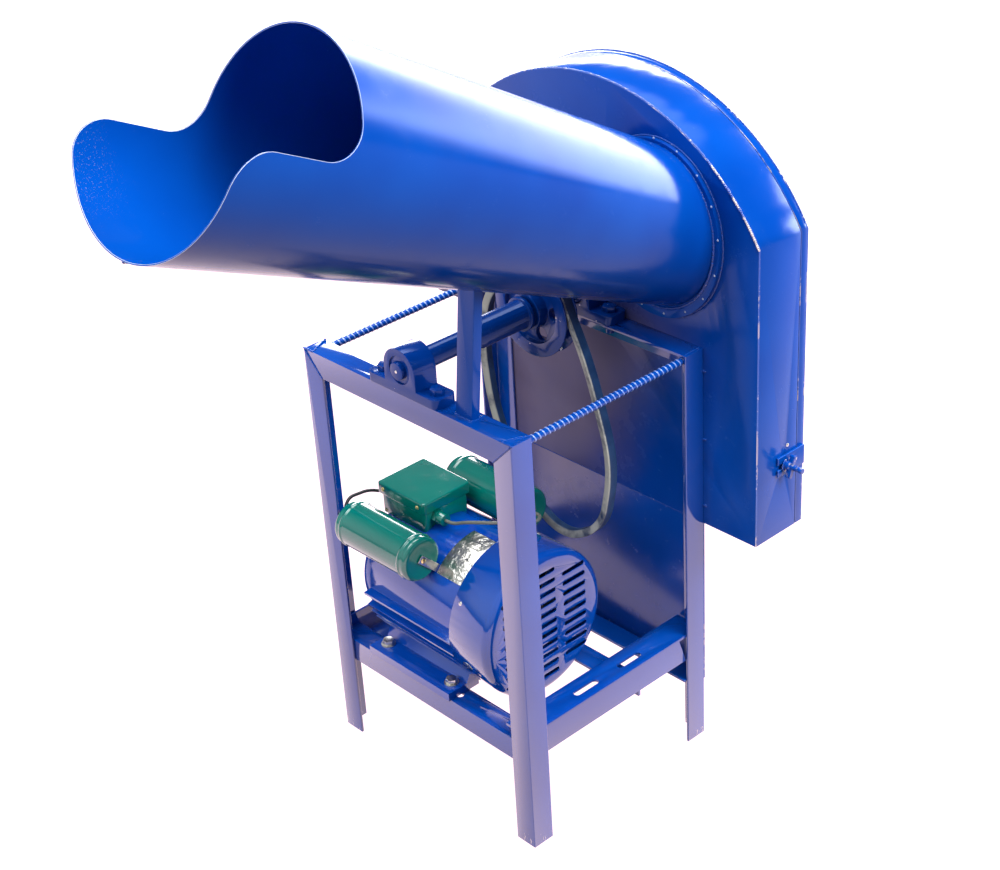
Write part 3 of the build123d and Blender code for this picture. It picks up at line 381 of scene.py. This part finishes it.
def geometry_tree(name, inputs):
    """A new Geometry Nodes tree with its named inputs, and the graph that writes it."""
    tree = bpy.data.node_groups.new(name, "GeometryNodeTree")
    tree.interface.new_socket("Geometry", in_out="INPUT", socket_type="NodeSocketGeometry")
    for label, kind in inputs:
        tree.interface.new_socket(label, in_out="INPUT", socket_type=kind)
    tree.interface.new_socket("Geometry", in_out="OUTPUT", socket_type="NodeSocketGeometry")
    graph = Graph(tree)
    entry = tree.nodes.new("NodeGroupInput")
    given = {socket.name: Socket(graph, socket) for socket in entry.outputs if socket.name}
    return tree, graph, given


def close_tree(tree, graph, copies, material):
    """Ends a tree: the copies made real, smooth and painted."""
    real = graph.node("GeometryNodeRealizeInstances", {}, {0: copies})
    smooth = graph.node("GeometryNodeSetShadeSmooth", {}, {0: real})
    painted = graph.node("GeometryNodeSetMaterial", {}, {"Geometry": smooth, "Material": material})
    tree.links.new(painted.output, tree.nodes.new("NodeGroupOutput").inputs[0])


def grown(name, mesh_or_curve, tree, values, body, stands_for=(), crease=None):
    """Runs a tree on a piece, keeps the plain mesh, and puts it on its body."""
    source = bpy.data.objects.new(name + "_source", mesh_or_curve)
    bpy.context.scene.collection.objects.link(source)
    growth = source.modifiers.new("growth", "NODES")
    growth.node_group = tree
    for item in tree.interface.items_tree:
        if item.in_out == "INPUT" and item.name in values:
            growth[item.identifier] = values[item.name]
    piece = applied(source, name)
    if crease:
        piece.data.set_sharp_from_angle(angle=radians(crease))
    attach(piece, body)
    if stands_for:
        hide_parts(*stands_for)
    return piece


bead_tree, bead, given = geometry_tree(
    "weld_bead",
    [
        ("Pitch", "NodeSocketFloat"),
        ("Radius", "NodeSocketFloat"),
        ("Seed", "NodeSocketInt"),
        ("Paint", "NodeSocketMaterial"),
    ],
)
puddles = bead.tree.nodes.new("GeometryNodeCurveToPoints")
puddles.mode = "LENGTH"
bead.join(given["Geometry"], puddles.inputs["Curve"])
bead.join(given["Pitch"], puddles.inputs["Length"])
swell = bead.node(
    "FunctionNodeRandomValue",
    {"data_type": "FLOAT_VECTOR"},
    {0: (0.75, 0.75, 0.8), 1: (1.15, 1.15, 1.2), "Seed": given["Seed"]},
)
swell = bead.node("ShaderNodeVectorMath", {"operation": "SCALE"}, {0: swell, "Scale": given["Radius"]})
drop = bead.node("GeometryNodeMeshIcoSphere", {}, {"Radius": 1.0, "Subdivisions": 2})
copies = bead.node(
    "GeometryNodeInstanceOnPoints",
    {},
    {
        "Points": Socket(bead, puddles.outputs["Points"]),
        "Instance": drop,
        "Rotation": Socket(bead, puddles.outputs["Rotation"]),
        "Scale": swell,
    },
)
close_tree(bead_tree, bead, copies, given["Paint"])


def route(points, closed=False):
    """A curve through points, as straight runs."""
    curve = bpy.data.curves.new("route", "CURVE")
    curve.dimensions = "3D"
    spline = curve.splines.new("POLY")
    spline.points.add(len(points) - 1)
    for knot, point in zip(spline.points, points):
        knot.co = (*point, 1)
    spline.use_cyclic_u = closed
    return curve


def weld(name, points, radius=2.0, seed=1, paint=bead_paint, closed=False, pitch=0.8, body="frame"):
    """A weld bead along a line of points. radius is in millimetres, and pitch is in radii."""
    values = {"Pitch": pitch * radius * mm, "Radius": radius * mm, "Seed": seed, "Paint": paint}
    return grown(name, route(points, closed), bead_tree, values, body)


width = (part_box("leg_front_right")[1].x - foot_corner.x) / mm
depth = (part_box("leg_rear_left")[1].y - foot_corner.y) / mm
top_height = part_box("leg_front_left")[1].z / mm
bar, wall = 36, 4
for number, x in enumerate((0, width)):
    inward = 1 if x == 0 else -1
    side_name = ("left", "right")[number]
    weld(
        f"weld_top_corner_{side_name}",
        [
            place(x, 1, top_height),
            place(x + inward * bar * 0.55, 1, top_height),
            place(x + inward * 3, bar, top_height),
        ],
        1.6,
        seed=number,
    )
    weld(
        f"weld_mitre_{side_name}",
        [place(x + inward * 2, -0.2, top_height - 2), place(x + inward * bar, -0.2, top_height - bar)],
        1.0,
        seed=number + 3,
    )
    weld(
        f"weld_rear_corner_{side_name}",
        [
            place(x + inward * wall, depth - bar, top_height),
            place(x + inward * wall, depth - wall, top_height),
        ],
        1.8,
        seed=number + 5,
    )
prop_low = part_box("tube_prop")[0]
weld(
    "weld_prop_foot",
    [
        Vector((prop_low.x, prop_low.y, prop_low.z)),
        Vector((prop_low.x + 0.031, prop_low.y, prop_low.z)),
        Vector((prop_low.x + 0.031, prop_low.y + 0.02, prop_low.z)),
    ],
    2.2,
    seed=11,
)

# ---- tie rods ---------------------------------------------------------------------------------------
# Ribbed reinforcing bar along the tops of the frame's two sides: a round core with slanted ribs, and a thin coat
# of the same enamel that is worn to steel on the ribs of the right one. The ribs are painted a lighter blue than
# the core: a painted highlight on each rib.
def fastener_tree(name, solid, solid_inputs, turn):
    """A tree that sets one solid on every point of a piece. turn is its rotation in radians."""
    tree, graph, given = geometry_tree(name, [("Paint", "NodeSocketMaterial")])
    shape = graph.node(solid, {}, solid_inputs)
    if solid == "GeometryNodeMeshIcoSphere":
        shape = graph.node("GeometryNodeTransform", {}, {"Geometry": shape, "Scale": (1, 1, 0.55)})
    copies = graph.node(
        "GeometryNodeInstanceOnPoints", {}, {"Points": given["Geometry"], "Instance": shape, "Rotation": turn}
    )
    close_tree(tree, graph, copies, given["Paint"])
    return tree


def point_cloud(name, points):
    """A mesh of loose points."""
    mesh = bpy.data.meshes.new(name)
    mesh.from_pydata([tuple(point) for point in points], [], [])
    return mesh


def studs(name, points, radius, depth, sides, turn, material, body="frame"):
    """A row of equal cylinders or prisms, one on each point, with sizes in millimetres."""
    tree = fastener_tree(
        name, "GeometryNodeMeshCylinder", {"Vertices": sides, "Radius": radius * mm, "Depth": depth * mm}, turn
    )
    return grown(name, point_cloud(name, points), tree, {"Paint": material}, body, crease=30)


def domes(name, points, radius, turn, material, body="frame"):
    """A row of low round heads, one on each point."""
    tree = fastener_tree(name, "GeometryNodeMeshIcoSphere", {"Radius": radius * mm, "Subdivisions": 3}, turn)
    return grown(name, point_cloud(name, points), tree, {"Paint": material}, body)


along_x, along_y, upright = (0, pi / 2, 0), (pi / 2, 0, 0), (0, 0, 0)
rod_paint = enamel("rod_enamel", deep_blue, bright_blue, grain=0.00002, roughness=0.2, coat=0.2, shine=0.3)
# The ribs get a lighter blue than the core: a painted highlight on each rib.
rib_highlight_paint = enamel(
    "rib_enamel_painted_highlight", (0.1, 0.2, 0.6, 1), (0.25, 0.38, 0.78, 1), grain=0.00004, roughness=0.2, wear=chipped
)
for rod in ("tie_rod_left", "tie_rod_right"):
    rounded_copy(rod, rod_paint, "frame", bevel=0.0)
    rod_low, rod_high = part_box(rod)
    middle = (rod_low + rod_high) / 2
    pitch, count = 0.0085, int((rod_high.y - rod_low.y - 0.012) / 0.0085)
    rib_places = [Vector((middle.x, rod_low.y + 0.008 + number * pitch, middle.z)) for number in range(count)]
    studs(rod + "_ribs", rib_places, 5.8, 1.8, 24, (pi / 2 + 0.3, 0, 0), rib_highlight_paint)

# ---- casing ------------------------------------------------------------------------------------------
# Two-millimetre sheet: a flat front plate, an arched wrapper, a rear door and a low deflector panel.
# Every cut edge was dressed after painting, so the edges are bare or chipped in places.
def edge_wear(finish):
    """Paint knocked off along an edge in long patches."""
    patch = finish.noise(finish.spot, 16, 2) + 0.5 * finish.noise(finish.spot, 110, 3, 0.7)
    return patch.between(0.8, 0.88)


def handled(finish):
    """Small scattered scuffs down to the metal."""
    scuff = finish.noise(finish.stretched(finish.spot, 1, 1, 2.2), 260, 3, 0.7)
    region = finish.noise(finish.spot, 6, 2)
    return (scuff + 0.5 * region).between(1.1, 1.14)


edge_paint = enamel(
    "edge_enamel", (0.012, 0.07, 0.42, 1), (0.05, 0.16, 0.55, 1), roughness=0.2, wear=edge_wear
)
blue_sheen = (0.2, 0.45, 1, 1)
sheet_paint = enamel(
    "sheet_enamel", deep_blue, bright_blue, wave=0.0005, wave_scale=4.5, roughness=0.16, coat=0.0, shine=0.3,
    tint=blue_sheen, wear=handled
)
rounded_copy("casing_wrapper", sheet_paint, "frame", bevel=0.6, edge=edge_paint)


def painted_floor_reflection(finish):
    """A painted brown-grey reflection of the floor on the sheet behind the belt, thinner towards the right and the
    floor.
    """
    x, z = finish.part(finish.spot, "X"), finish.part(finish.spot, "Z")
    cloud = finish.noise(finish.spot, 9, 4, 0.6)
    left = 1 - (x + 0.45 * (0.62 - z) + 0.12 * cloud).between(0.1, 0.27)
    return left * z.between(0.2, 0.46) * (1 - z.between(0.62, 0.72)) * (0.6 + 0.3 * cloud)


# Front plate and deflector panel: a painted brown-grey floor reflection on their left, behind the belt.
for finish_name, node, shine, sheen in (
    ("front_plate_enamel", "casing_front_plate", 0.3, blue_sheen),
    ("panel_enamel", "deflector_panel", 0.6, (1, 1, 1, 1)),
):
    reflecting_sheet_paint = enamel(
        finish_name, deep_blue, bright_blue, wave=0.0005, wave_scale=4.5, roughness=0.2, coat=0.0, shine=shine,
        tint=sheen, wear=handled, painted_reflection_film=painted_floor_reflection,
    )
    rounded_copy(node, reflecting_sheet_paint, "frame", bevel=0.6, edge=edge_paint)
for node in ("door_rim", "door_skin"):
    rounded_copy(node, sheet_paint, "casing_door", bevel=0.6, edge=edge_paint)

kink_paint = enamel(
    "kink_enamel", deep_blue, bright_blue, grain=0.00005,
    wear=lambda finish: finish.noise(finish.spot, 45, 3).between(0.5, 0.56),
)
plate_low, plate_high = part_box("casing_front_plate")
arch_x, arch_z, arch_radius = 215, 653, 346
casing_y = (plate_low.y - foot_corner.y) / mm


def on_arch(turn, y, radius=arch_radius):
    """A point on the arch at an angle from the right-hand horizontal, in degrees."""
    return place(arch_x + radius * cos(radians(turn)), y, arch_z + radius * sin(radians(turn)))


door_back_y = (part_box("door_skin")[1].y - foot_corner.y) / mm
arch_bead = [on_arch(30 + 2 * n, casing_y + 1.5) for n in range(74)]
kink_bead = [on_arch(30 + 2 * n, casing_y + 0.5) for n in range(12)]
weld("front_arch_bead", arch_bead, 1.3, 21, chipped_edge, pitch=1.1)
weld("front_kink_bead", kink_bead, 2.0, 24, kink_paint, pitch=1.4)
weld(
    "door_arch_bead",
    [on_arch(31 + 2 * n, door_back_y - 1.5) for n in range(73)],
    1.3,
    22,
    chipped_edge,
    pitch=1.1,
    body="casing_door",
)
tack_spots = [(419, 619), (419, 512), (419, 404)]
for number, (x, z) in enumerate(tack_spots):
    weld(f"front_tack_{number + 1}", [place(x - 5, casing_y, z), place(x + 5, casing_y, z + 1)], 2.0, 30 + number)
panel_low, panel_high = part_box("deflector_panel")
weld(
    "panel_seam",
    [
        Vector((panel_low.x + 0.012, panel_low.y, panel_high.z)),
        Vector((panel_high.x - 0.012, panel_low.y, panel_high.z)),
    ],
    0.7,
    41,
    pitch=1.6,
)
for number, x in enumerate((panel_low.x + 0.01, panel_high.x - 0.01)):
    tack = Vector((x, panel_low.y, panel_high.z))
    weld(f"panel_tack_{number + 1}", [tack, tack + Vector((0.006, 0, 0))], 2.4, 43 + number)

# ---- feed tube -----------------------------------------------------------------------------------------
# A cone rolled from one sheet with a welded seam underneath, a hood, and a trough that runs on below
# it. The edges are dressed bright, the inside of the tip is scuffed, and the seam shows as tacks.
tube_foot = place(340, 360, 810)
tube_tilt = radians(26)
tube_axis = Vector((0, -cos(tube_tilt), sin(tube_tilt)))
tube_over = Vector((0, sin(tube_tilt), cos(tube_tilt)))
sideways = Vector((1, 0, 0))
tube_radius, tube_taper, trough_length = 104, 0.051, 835


def on_tube(along, turn, lift=0.0):
    """A point on the tube: millimetres along its axis, degrees from the right-hand side, and lift off it."""
    reach = tube_radius + tube_taper * along + lift
    spoke = cos(radians(turn)) * sideways + sin(radians(turn)) * tube_over
    return tube_foot + (along * tube_axis + reach * spoke) * mm


def tip_scuffs(finish):
    """Fine scratches where stalks are pushed over the trough's tip."""
    near_tip = (0 - finish.part(finish.spot, "Y")).between(0.36, 0.41)
    far_side = 1 - finish.part(finish.spot, "X").between(0.02, 0.07)
    high_up = finish.part(finish.spot, "Z").between(1.03, 1.09)
    speckle = finish.noise(finish.spot, 620, 2, 0.7).between(0.64, 0.7)
    return 0.5 * near_tip * far_side * high_up * speckle


tube_paint = enamel(
    "tube_enamel", deep_blue, bright_blue, wave=0.00035, wave_scale=3.2, roughness=0.15, coat=0.0, shine=0.2,
    tint=blue_sheen, wear=tip_scuffs
)
bright_edge = enamel("bright_edge", (0.2, 0.3, 0.55, 1), (0.5, 0.55, 0.62, 1), roughness=0.25)
tube = rounded_copy("feed_tube", tube_paint, "frame", bevel=0.7, edge=bright_edge)


def true_cone(piece, start, axis, taper):
    """Gives a rolled sheet the exact shading of its cone, so that long facets don't show."""
    mesh = piece.data
    shading = [Vector(corner.vector) for corner in mesh.corner_normals]
    for face in mesh.polygons:
        for corner in face.loop_indices:
            spoke = mesh.vertices[mesh.loops[corner].vertex_index].co - start
            spoke -= spoke.dot(axis) * axis
            outward = (spoke.normalized() - taper * axis).normalized()
            facing = face.normal.dot(outward)
            if abs(facing) > 0.93:
                shading[corner] = outward if facing > 0 else -outward
    mesh.normals_split_custom_set(shading)


true_cone(tube, tube_foot, tube_axis, tube_taper)
domes(
    "seam_tacks",
    [on_tube(along, -90) for along in range(40, trough_length - 20, 165)],
    3.2,
    (radians(-64), 0, 0),
    bead_paint,
)
weld("seam_end", [on_tube(trough_length - 26, -90), on_tube(trough_length - 4, -90)], 2.4, 51)

rounded_copy("tube_prop", sheet_paint, "frame", bevel=1.0)

# ---- collar ----------------------------------------------------------------------------------------------
# The ring that joins the tube to the front plate, with a continuous bead inside it and bright tacks.
rounded_copy("tube_collar", sheet_paint, "frame", bevel=1.5, segments=3)
collar_y = (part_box("tube_collar")[0].y - foot_corner.y) / mm
stretch = 1 / cos(radians(26))


def on_collar(turn, radius, y):
    """A point on the ellipse where the tube meets a plane at depth y."""
    slide = (casing_y - y) * tan(radians(26))
    return place(340 + radius * cos(radians(turn)), y, 810 + slide + radius * stretch * sin(radians(turn)))


inner_bead = [on_collar(6 * n, tube_radius + 1.5, collar_y) for n in range(60)]
outer_bead = [on_collar(6 * n, tube_radius + 11.5, casing_y - 0.5) for n in range(60)]
weld("collar_inner_bead", inner_bead, 2.2, 61, closed=True)
weld("collar_outer_bead", outer_bead, 1.6, 62, closed=True)
domes(
    "collar_tacks",
    [on_collar(turn, tube_radius + 9, collar_y) for turn in range(5, 360, 21)],
    1.7,
    along_y,
    bright_edge,
)

# ---- bearings, shaft, pulley and knife disc ---------------------------------------------------------------
# Cast pillow blocks and a cast pulley carry a rougher coat over sand-cast iron. The shaft and sleeve were
# sprayed with the rest. The knives are ground steel.
# The darker blue below is painted shade. The cast parts and the shaft sit under the tube and the hood, and they
# get a darker copy of the frame's blue.
shade_blue = (0.0004, 0.026, 0.17, 1)
cast_paint = enamel(
    "cast_enamel_painted_shade", shade_blue, deep_blue, peel=0.000008, grain=0.00012, roughness=0.2, coat=0.25, shine=0.3,
    tint=blue_sheen, wear=chipped,
)
shaft_paint = enamel(
    "shaft_enamel_painted_shade", shade_blue, deep_blue, grain=0.00002, roughness=0.2, coat=0.2, shine=0.3, tint=blue_sheen, wear=handled
)


def metal(name, colour, roughness, brushed=(1, 1, 1), scratch=0.00002, dirt=(0.09, 0.08, 0.07, 1), dirt_share=0.4):
    """Bare or plated metal with fine scratches along one way and a little dirt."""
    finish = Finish(name, {"Metallic": 1.0})
    fine = finish.noise(finish.stretched(finish.spot, *brushed), 900, 2)
    cloud = finish.noise(finish.spot, 70, 4, 0.6)
    finish.set("Base Color", finish.mix(dirt_share * cloud.between(0.5, 0.75), colour, dirt))
    finish.set("Roughness", roughness + 0.15 * cloud + 0.1 * fine)
    finish.relief(scratch * fine)
    return finish.material


zinc = metal("zinc_plate", (0.78, 0.76, 0.7, 1), 0.18)
brass = metal("yellow_zinc", (0.86, 0.66, 0.28, 1), 0.2)
ground_steel = metal("ground_steel", (0.6, 0.61, 0.63, 1), 0.16, brushed=(1, 1, 0.05))
core_steel = metal("core_laminations", (0.3, 0.3, 0.32, 1), 0.35, brushed=(12, 0.4, 0.4), scratch=0.00008)
for node in ("bearing_block_front", "bearing_block_rear"):
    rounded_copy(node, cast_paint, "frame", bevel=1.8, segments=3)
rounded_copy("bearing_bolts", cast_paint, "frame", bevel=0.8)
for node in ("bearing_insert_front", "bearing_insert_rear"):
    rounded_copy(node, shaft_paint, "knife_rotor", bevel=0.5)
for node in ("rotor_shaft", "shaft_sleeve", "disc_hub", "knife_disc", "paddles"):
    rounded_copy(node, shaft_paint, "knife_rotor", bevel=0.8)
rounded_copy("driven_pulley", cast_paint, "knife_rotor", bevel=1.0)
for number in (1, 2, 3):
    rounded_copy(f"knife_{number}", ground_steel, "knife_rotor", bevel=0.3)

shaft_x, shaft_z = 210, top_height + 36.5
knife_bolts = []
for number in range(3):
    turn = radians(90 + 120 * number)
    for reach in (115, 215):
        for aside in (-14, 14):
            knife_bolts.append(
                place(
                    shaft_x + reach * cos(turn) - aside * sin(turn),
                    (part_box("knife_1")[0].y - foot_corner.y) / mm - 1.5,
                    shaft_z + reach * sin(turn) + aside * cos(turn),
                )
            )
studs("knife_bolts", knife_bolts, 7.5, 4, 6, along_y, zinc, "knife_rotor")
shaft_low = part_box("rotor_shaft")[0]
shaft_centre = Vector((foot_corner.x + shaft_x * mm, shaft_low.y, shaft_z * mm))
domes("shaft_centre_mark", [shaft_centre], 2.2, along_y, zinc, "knife_rotor")

# ---- belt --------------------------------------------------------------------------------------------------
# A wrapped V-belt that hangs slack. Its front cut side is painted paler than its cloth back in patches: a painted
# highlight. The rear side keeps the cloth colour.
belt = Finish("belt_cloth", {"Specular IOR Level": 0.4})
belt_low, belt_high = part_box("v_belt")
belt_middle = (belt_low.y + belt_high.y) / 2
across = belt.part(belt.spot, "Y") - belt_middle
# The pale patches on the front flank are a painted highlight.
front_flank_highlight = (0 - across).between(0.0046, 0.0064)
weave = belt.noise(belt.spot, 700, 2)
wear_patch = belt.noise(belt.spot, 24, 4, 0.6)
cloth = belt.mix(wear_patch.between(0.35, 0.7), (0.004, 0.022, 0.07, 1), (0.015, 0.05, 0.13, 1))
belt.set("Base Color", belt.mix(front_flank_highlight * wear_patch.between(0.3, 0.55), cloth, (0.42, 0.42, 0.36, 1)))
belt.set("Roughness", 0.42 + 0.3 * weave)
belt.relief(0.00012 * weave)
rounded_copy("v_belt", belt.material, "frame", bevel=0.8, segments=3)

# ---- hinge and latch ---------------------------------------------------------------------------------------
# A knuckle hinge on the left and, on the right, a fork that drops over a stud and is held by a wing nut.
def turned_bare(finish):
    """Paint rubbed off the grips and threads where they are handled."""
    return (finish.noise(finish.spot, 150, 3, 0.7) + 0.2 * finish.noise(finish.spot, 30, 1)).between(0.66, 0.74)


latch_paint = enamel("latch_enamel", deep_blue, bright_blue, coat=0.5, wear=turned_bare)
for node, body in (("hinge_fixed", "frame"), ("hinge_door", "casing_door"), ("latch_fork", "casing_door")):
    rounded_copy(node, sheet_paint, body, bevel=0.6, edge=edge_paint)
latch_bodies = {"latch_stud": "frame", "latch_washer": "latch_washer_body", "latch_nut": "latch_nut_body"}
for node, body in latch_bodies.items():
    rounded_copy(node, latch_paint, body, bevel=0.5, segments=3)
stud_low, stud_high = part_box("latch_stud")
stud_middle = (stud_low + stud_high) / 2
thread_start, thread_pitch = stud_high.x - 0.018, 0.00125
studs(
    "stud_thread",
    [Vector((thread_start + n * thread_pitch, stud_middle.y, stud_middle.z)) for n in range(14)],
    4.15,
    0.6,
    20,
    along_x,
    latch_paint,
)
side_screw = Vector((plate_high.x, foot_corner.y + 0.425, foot_corner.z + 0.511))
domes("casing_side_screw", [side_screw], 3.0, along_x, zinc)

# ---- motor -------------------------------------------------------------------------------------------------
# A foot motor with a rolled shell, cast end bells and fins, and a pressed fan cowl with louvres.
smooth_cast = enamel(
    "motor_enamel", (0.0005, 0.046, 0.34, 1), (0.0006, 0.075, 0.46, 1), grain=0.00004, roughness=0.12,
    wear=handled,
)
for node, bevel in (("motor_shell", 0.8), ("drive_bell", 2.0), ("fan_bell", 1.5), ("motor_foot", 2.5)):
    rounded_copy(node, smooth_cast, "frame", bevel=bevel, segments=3)
rounded_copy("fan_cowl", bar_paint, "frame", bevel=0.5, crease=50)
rounded_copy("stator_core", core_steel, "frame", bevel=0.5)
rounded_copy("motor_shaft", ground_steel, "motor_rotor", bevel=0.8)
rounded_copy("motor_bolts", zinc, "frame", bevel=0.7)
plastic = Finish("fan_plastic", {"Base Color": (0.018, 0.018, 0.02, 1)})
plastic.set("Roughness", 0.4 + 0.2 * plastic.noise(plastic.spot, 200, 2))
plastic.relief(0.00001 * plastic.noise(plastic.spot, 800, 1))
rounded_copy("motor_fan", plastic.material, "motor_rotor", bevel=0.5)

motor_z = (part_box("motor_shaft")[0].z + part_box("motor_shaft")[1].z) / 2
motor_y = (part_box("motor_shaft")[0].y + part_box("motor_shaft")[1].y) / 2


def round_motor(x, reach, turns):
    """Points round the motor's axis at x, at angles in degrees from the back."""
    return [
        Vector((x, motor_y + reach * mm * cos(radians(turn)), motor_z + reach * mm * sin(radians(turn))))
        for turn in turns
    ]


bell_bolts = round_motor(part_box("drive_bell")[0].x + 0.0005, 84, (45, 135, 225, 315))
domes("bell_bolts", bell_bolts, 6, along_x, brass)
cowl_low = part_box("fan_cowl")[0]
cowl_screws = round_motor(cowl_low.x + 0.012, 112.6, (60, 150))
for number, turn in enumerate((60, 150)):
    domes(
        f"cowl_screw_{number + 1}",
        [cowl_screws[number]],
        3.2,
        (radians(turn - 90), 0, 0),
        zinc,
    )
washer_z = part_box("motor_foot")[0].z + 0.0136
bolt_low, bolt_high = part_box("motor_bolts")
washers = [
    Vector((x, y, washer_z))
    for x in (bolt_low.x + 0.00875, bolt_high.x - 0.00875)
    for y in (bolt_low.y + 0.00758, bolt_high.y - 0.00758)
]
studs("foot_washers", washers, 11, 1.4, 28, upright, zinc)

# ---- terminal box and capacitors -----------------------------------------------------------------------------
# Teal-green enamel on the terminal box and the two capacitor cans. Each can has a rolled ridge near both of
# its rounded ends, and a plated strap with a yellow screw holds it.
deep_teal, bright_teal = (0.0, 0.12, 0.095, 1), (0.0, 0.2, 0.155, 1)
teal = enamel("teal_enamel", deep_teal, bright_teal, wave=0.0001, wave_scale=16, grain=0.00001, roughness=0.16)
rounded_copy("terminal_box", teal, "frame", bevel=1.5, segments=3)
rounded_copy("terminal_lid", teal, "frame", bevel=1.2, segments=3)
rounded_copy("cable_gland", teal, "frame", bevel=0.8)
lid_low, lid_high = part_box("terminal_lid")
lid_screw = Vector((lid_high.x - 0.014, lid_low.y, (lid_low.z + lid_high.z) / 2))
far_screw = Vector((lid_low.x + 0.014, lid_low.y, lid_screw.z))
domes("lid_screw", [lid_screw, far_screw], 3.4, along_y, brass)


def lathed(name, start, middle, outline, material, body, stands_for=(), rounds=96, crease=40):
    """A turned piece along X from start: outline is a list of (along, radius) in millimetres."""
    shape = bmesh.new()
    hoops = [
        [
            shape.verts.new(
                (
                    start + along * mm,
                    middle.y + radius * mm * cos(2 * pi * k / rounds),
                    middle.z + radius * mm * sin(2 * pi * k / rounds),
                )
            )
            for k in range(rounds)
        ]
        for along, radius in outline
    ]
    for near, far in zip(hoops, hoops[1:]):
        for k in range(rounds):
            after = (k + 1) % rounds
            shape.faces.new((near[k], far[k], far[after], near[after]))
    shape.faces.new(hoops[0])
    shape.faces.new(hoops[-1][::-1])
    bmesh.ops.recalc_face_normals(shape, faces=shape.faces)
    mesh = bpy.data.meshes.new(name)
    shape.to_mesh(mesh)
    shape.free()
    return finish_piece(name, mesh, material, body, stands_for, crease=crease)


for can in ("capacitor_front", "capacitor_rear"):
    can_low, can_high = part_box(can)
    can_middle = (can_low + can_high) / 2
    reach, long = (can_high.z - can_low.z) / 2 / mm, (can_high.x - can_low.x) / mm
    bow = [(6 * (1 - cos(radians(a))), reach - 6 + 6 * sin(radians(a))) for a in range(0, 91, 15)]
    ridge = [(11 + k, reach + 1.3 * sin(radians(30 * k))) for k in range(7)]
    rim, wall_start, wall_end = [(1.5, reach - 14), (0.6, reach - 10)], [(7, reach), (10, reach)], [(18, reach), (21, reach)]
    half_outline = rim + bow + wall_start + ridge + wall_end
    outline = half_outline + [(long - along, radius) for along, radius in reversed(half_outline)]
    lathed(can + "_looks", can_low.x, can_middle, outline, teal, "frame", (can,))

rounded_copy("capacitor_straps", zinc, "frame", bevel=0.5)
for can in ("capacitor_front", "capacitor_rear"):
    can_low, can_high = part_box(can)
    can_middle = (can_low + can_high) / 2
    inward = Vector((0, motor_y - can_middle.y, motor_z - can_middle.z)).normalized() * 0.001
    head = Vector((can_high.x + 0.0022, can_middle.y, can_middle.z)) + inward
    domes(can + "_screw", [head], 4.2, along_x, brass)

foil = Finish("thin_plate", {"Metallic": 1.0, "Base Color": (0.66, 0.66, 0.6, 1)})
crumple = foil.noise(foil.spot, 55, 3, 0.55)
foil.set("Roughness", 0.2 + 0.2 * crumple)
foil.relief(0.004 * crumple)
rounded_copy("data_plate", foil.material, "frame", bevel=0.2)

jacket = Finish("lead_jacket", {"Base Color": (0.03, 0.03, 0.032, 1)})
jacket.set("Roughness", 0.35 + 0.2 * jacket.noise(jacket.spot, 300, 2))
jacket.relief(0.00002 * jacket.noise(jacket.spot, 500, 2))
pale_jacket = Finish("pale_lead_jacket", {})
pale_jacket.set(
    "Base Color",
    pale_jacket.mix(pale_jacket.noise(pale_jacket.spot, 60, 3), (0.08, 0.09, 0.08, 1), (0.2, 0.21, 0.18, 1)),
)
pale_jacket.set("Roughness", 0.4 + 0.2 * pale_jacket.noise(pale_jacket.spot, 300, 2))
rounded_copy("lead_front", jacket.material, "frame", bevel=0.0, crease=60)
rounded_copy("lead_rear", pale_jacket.material, "frame", bevel=0.0, crease=60)
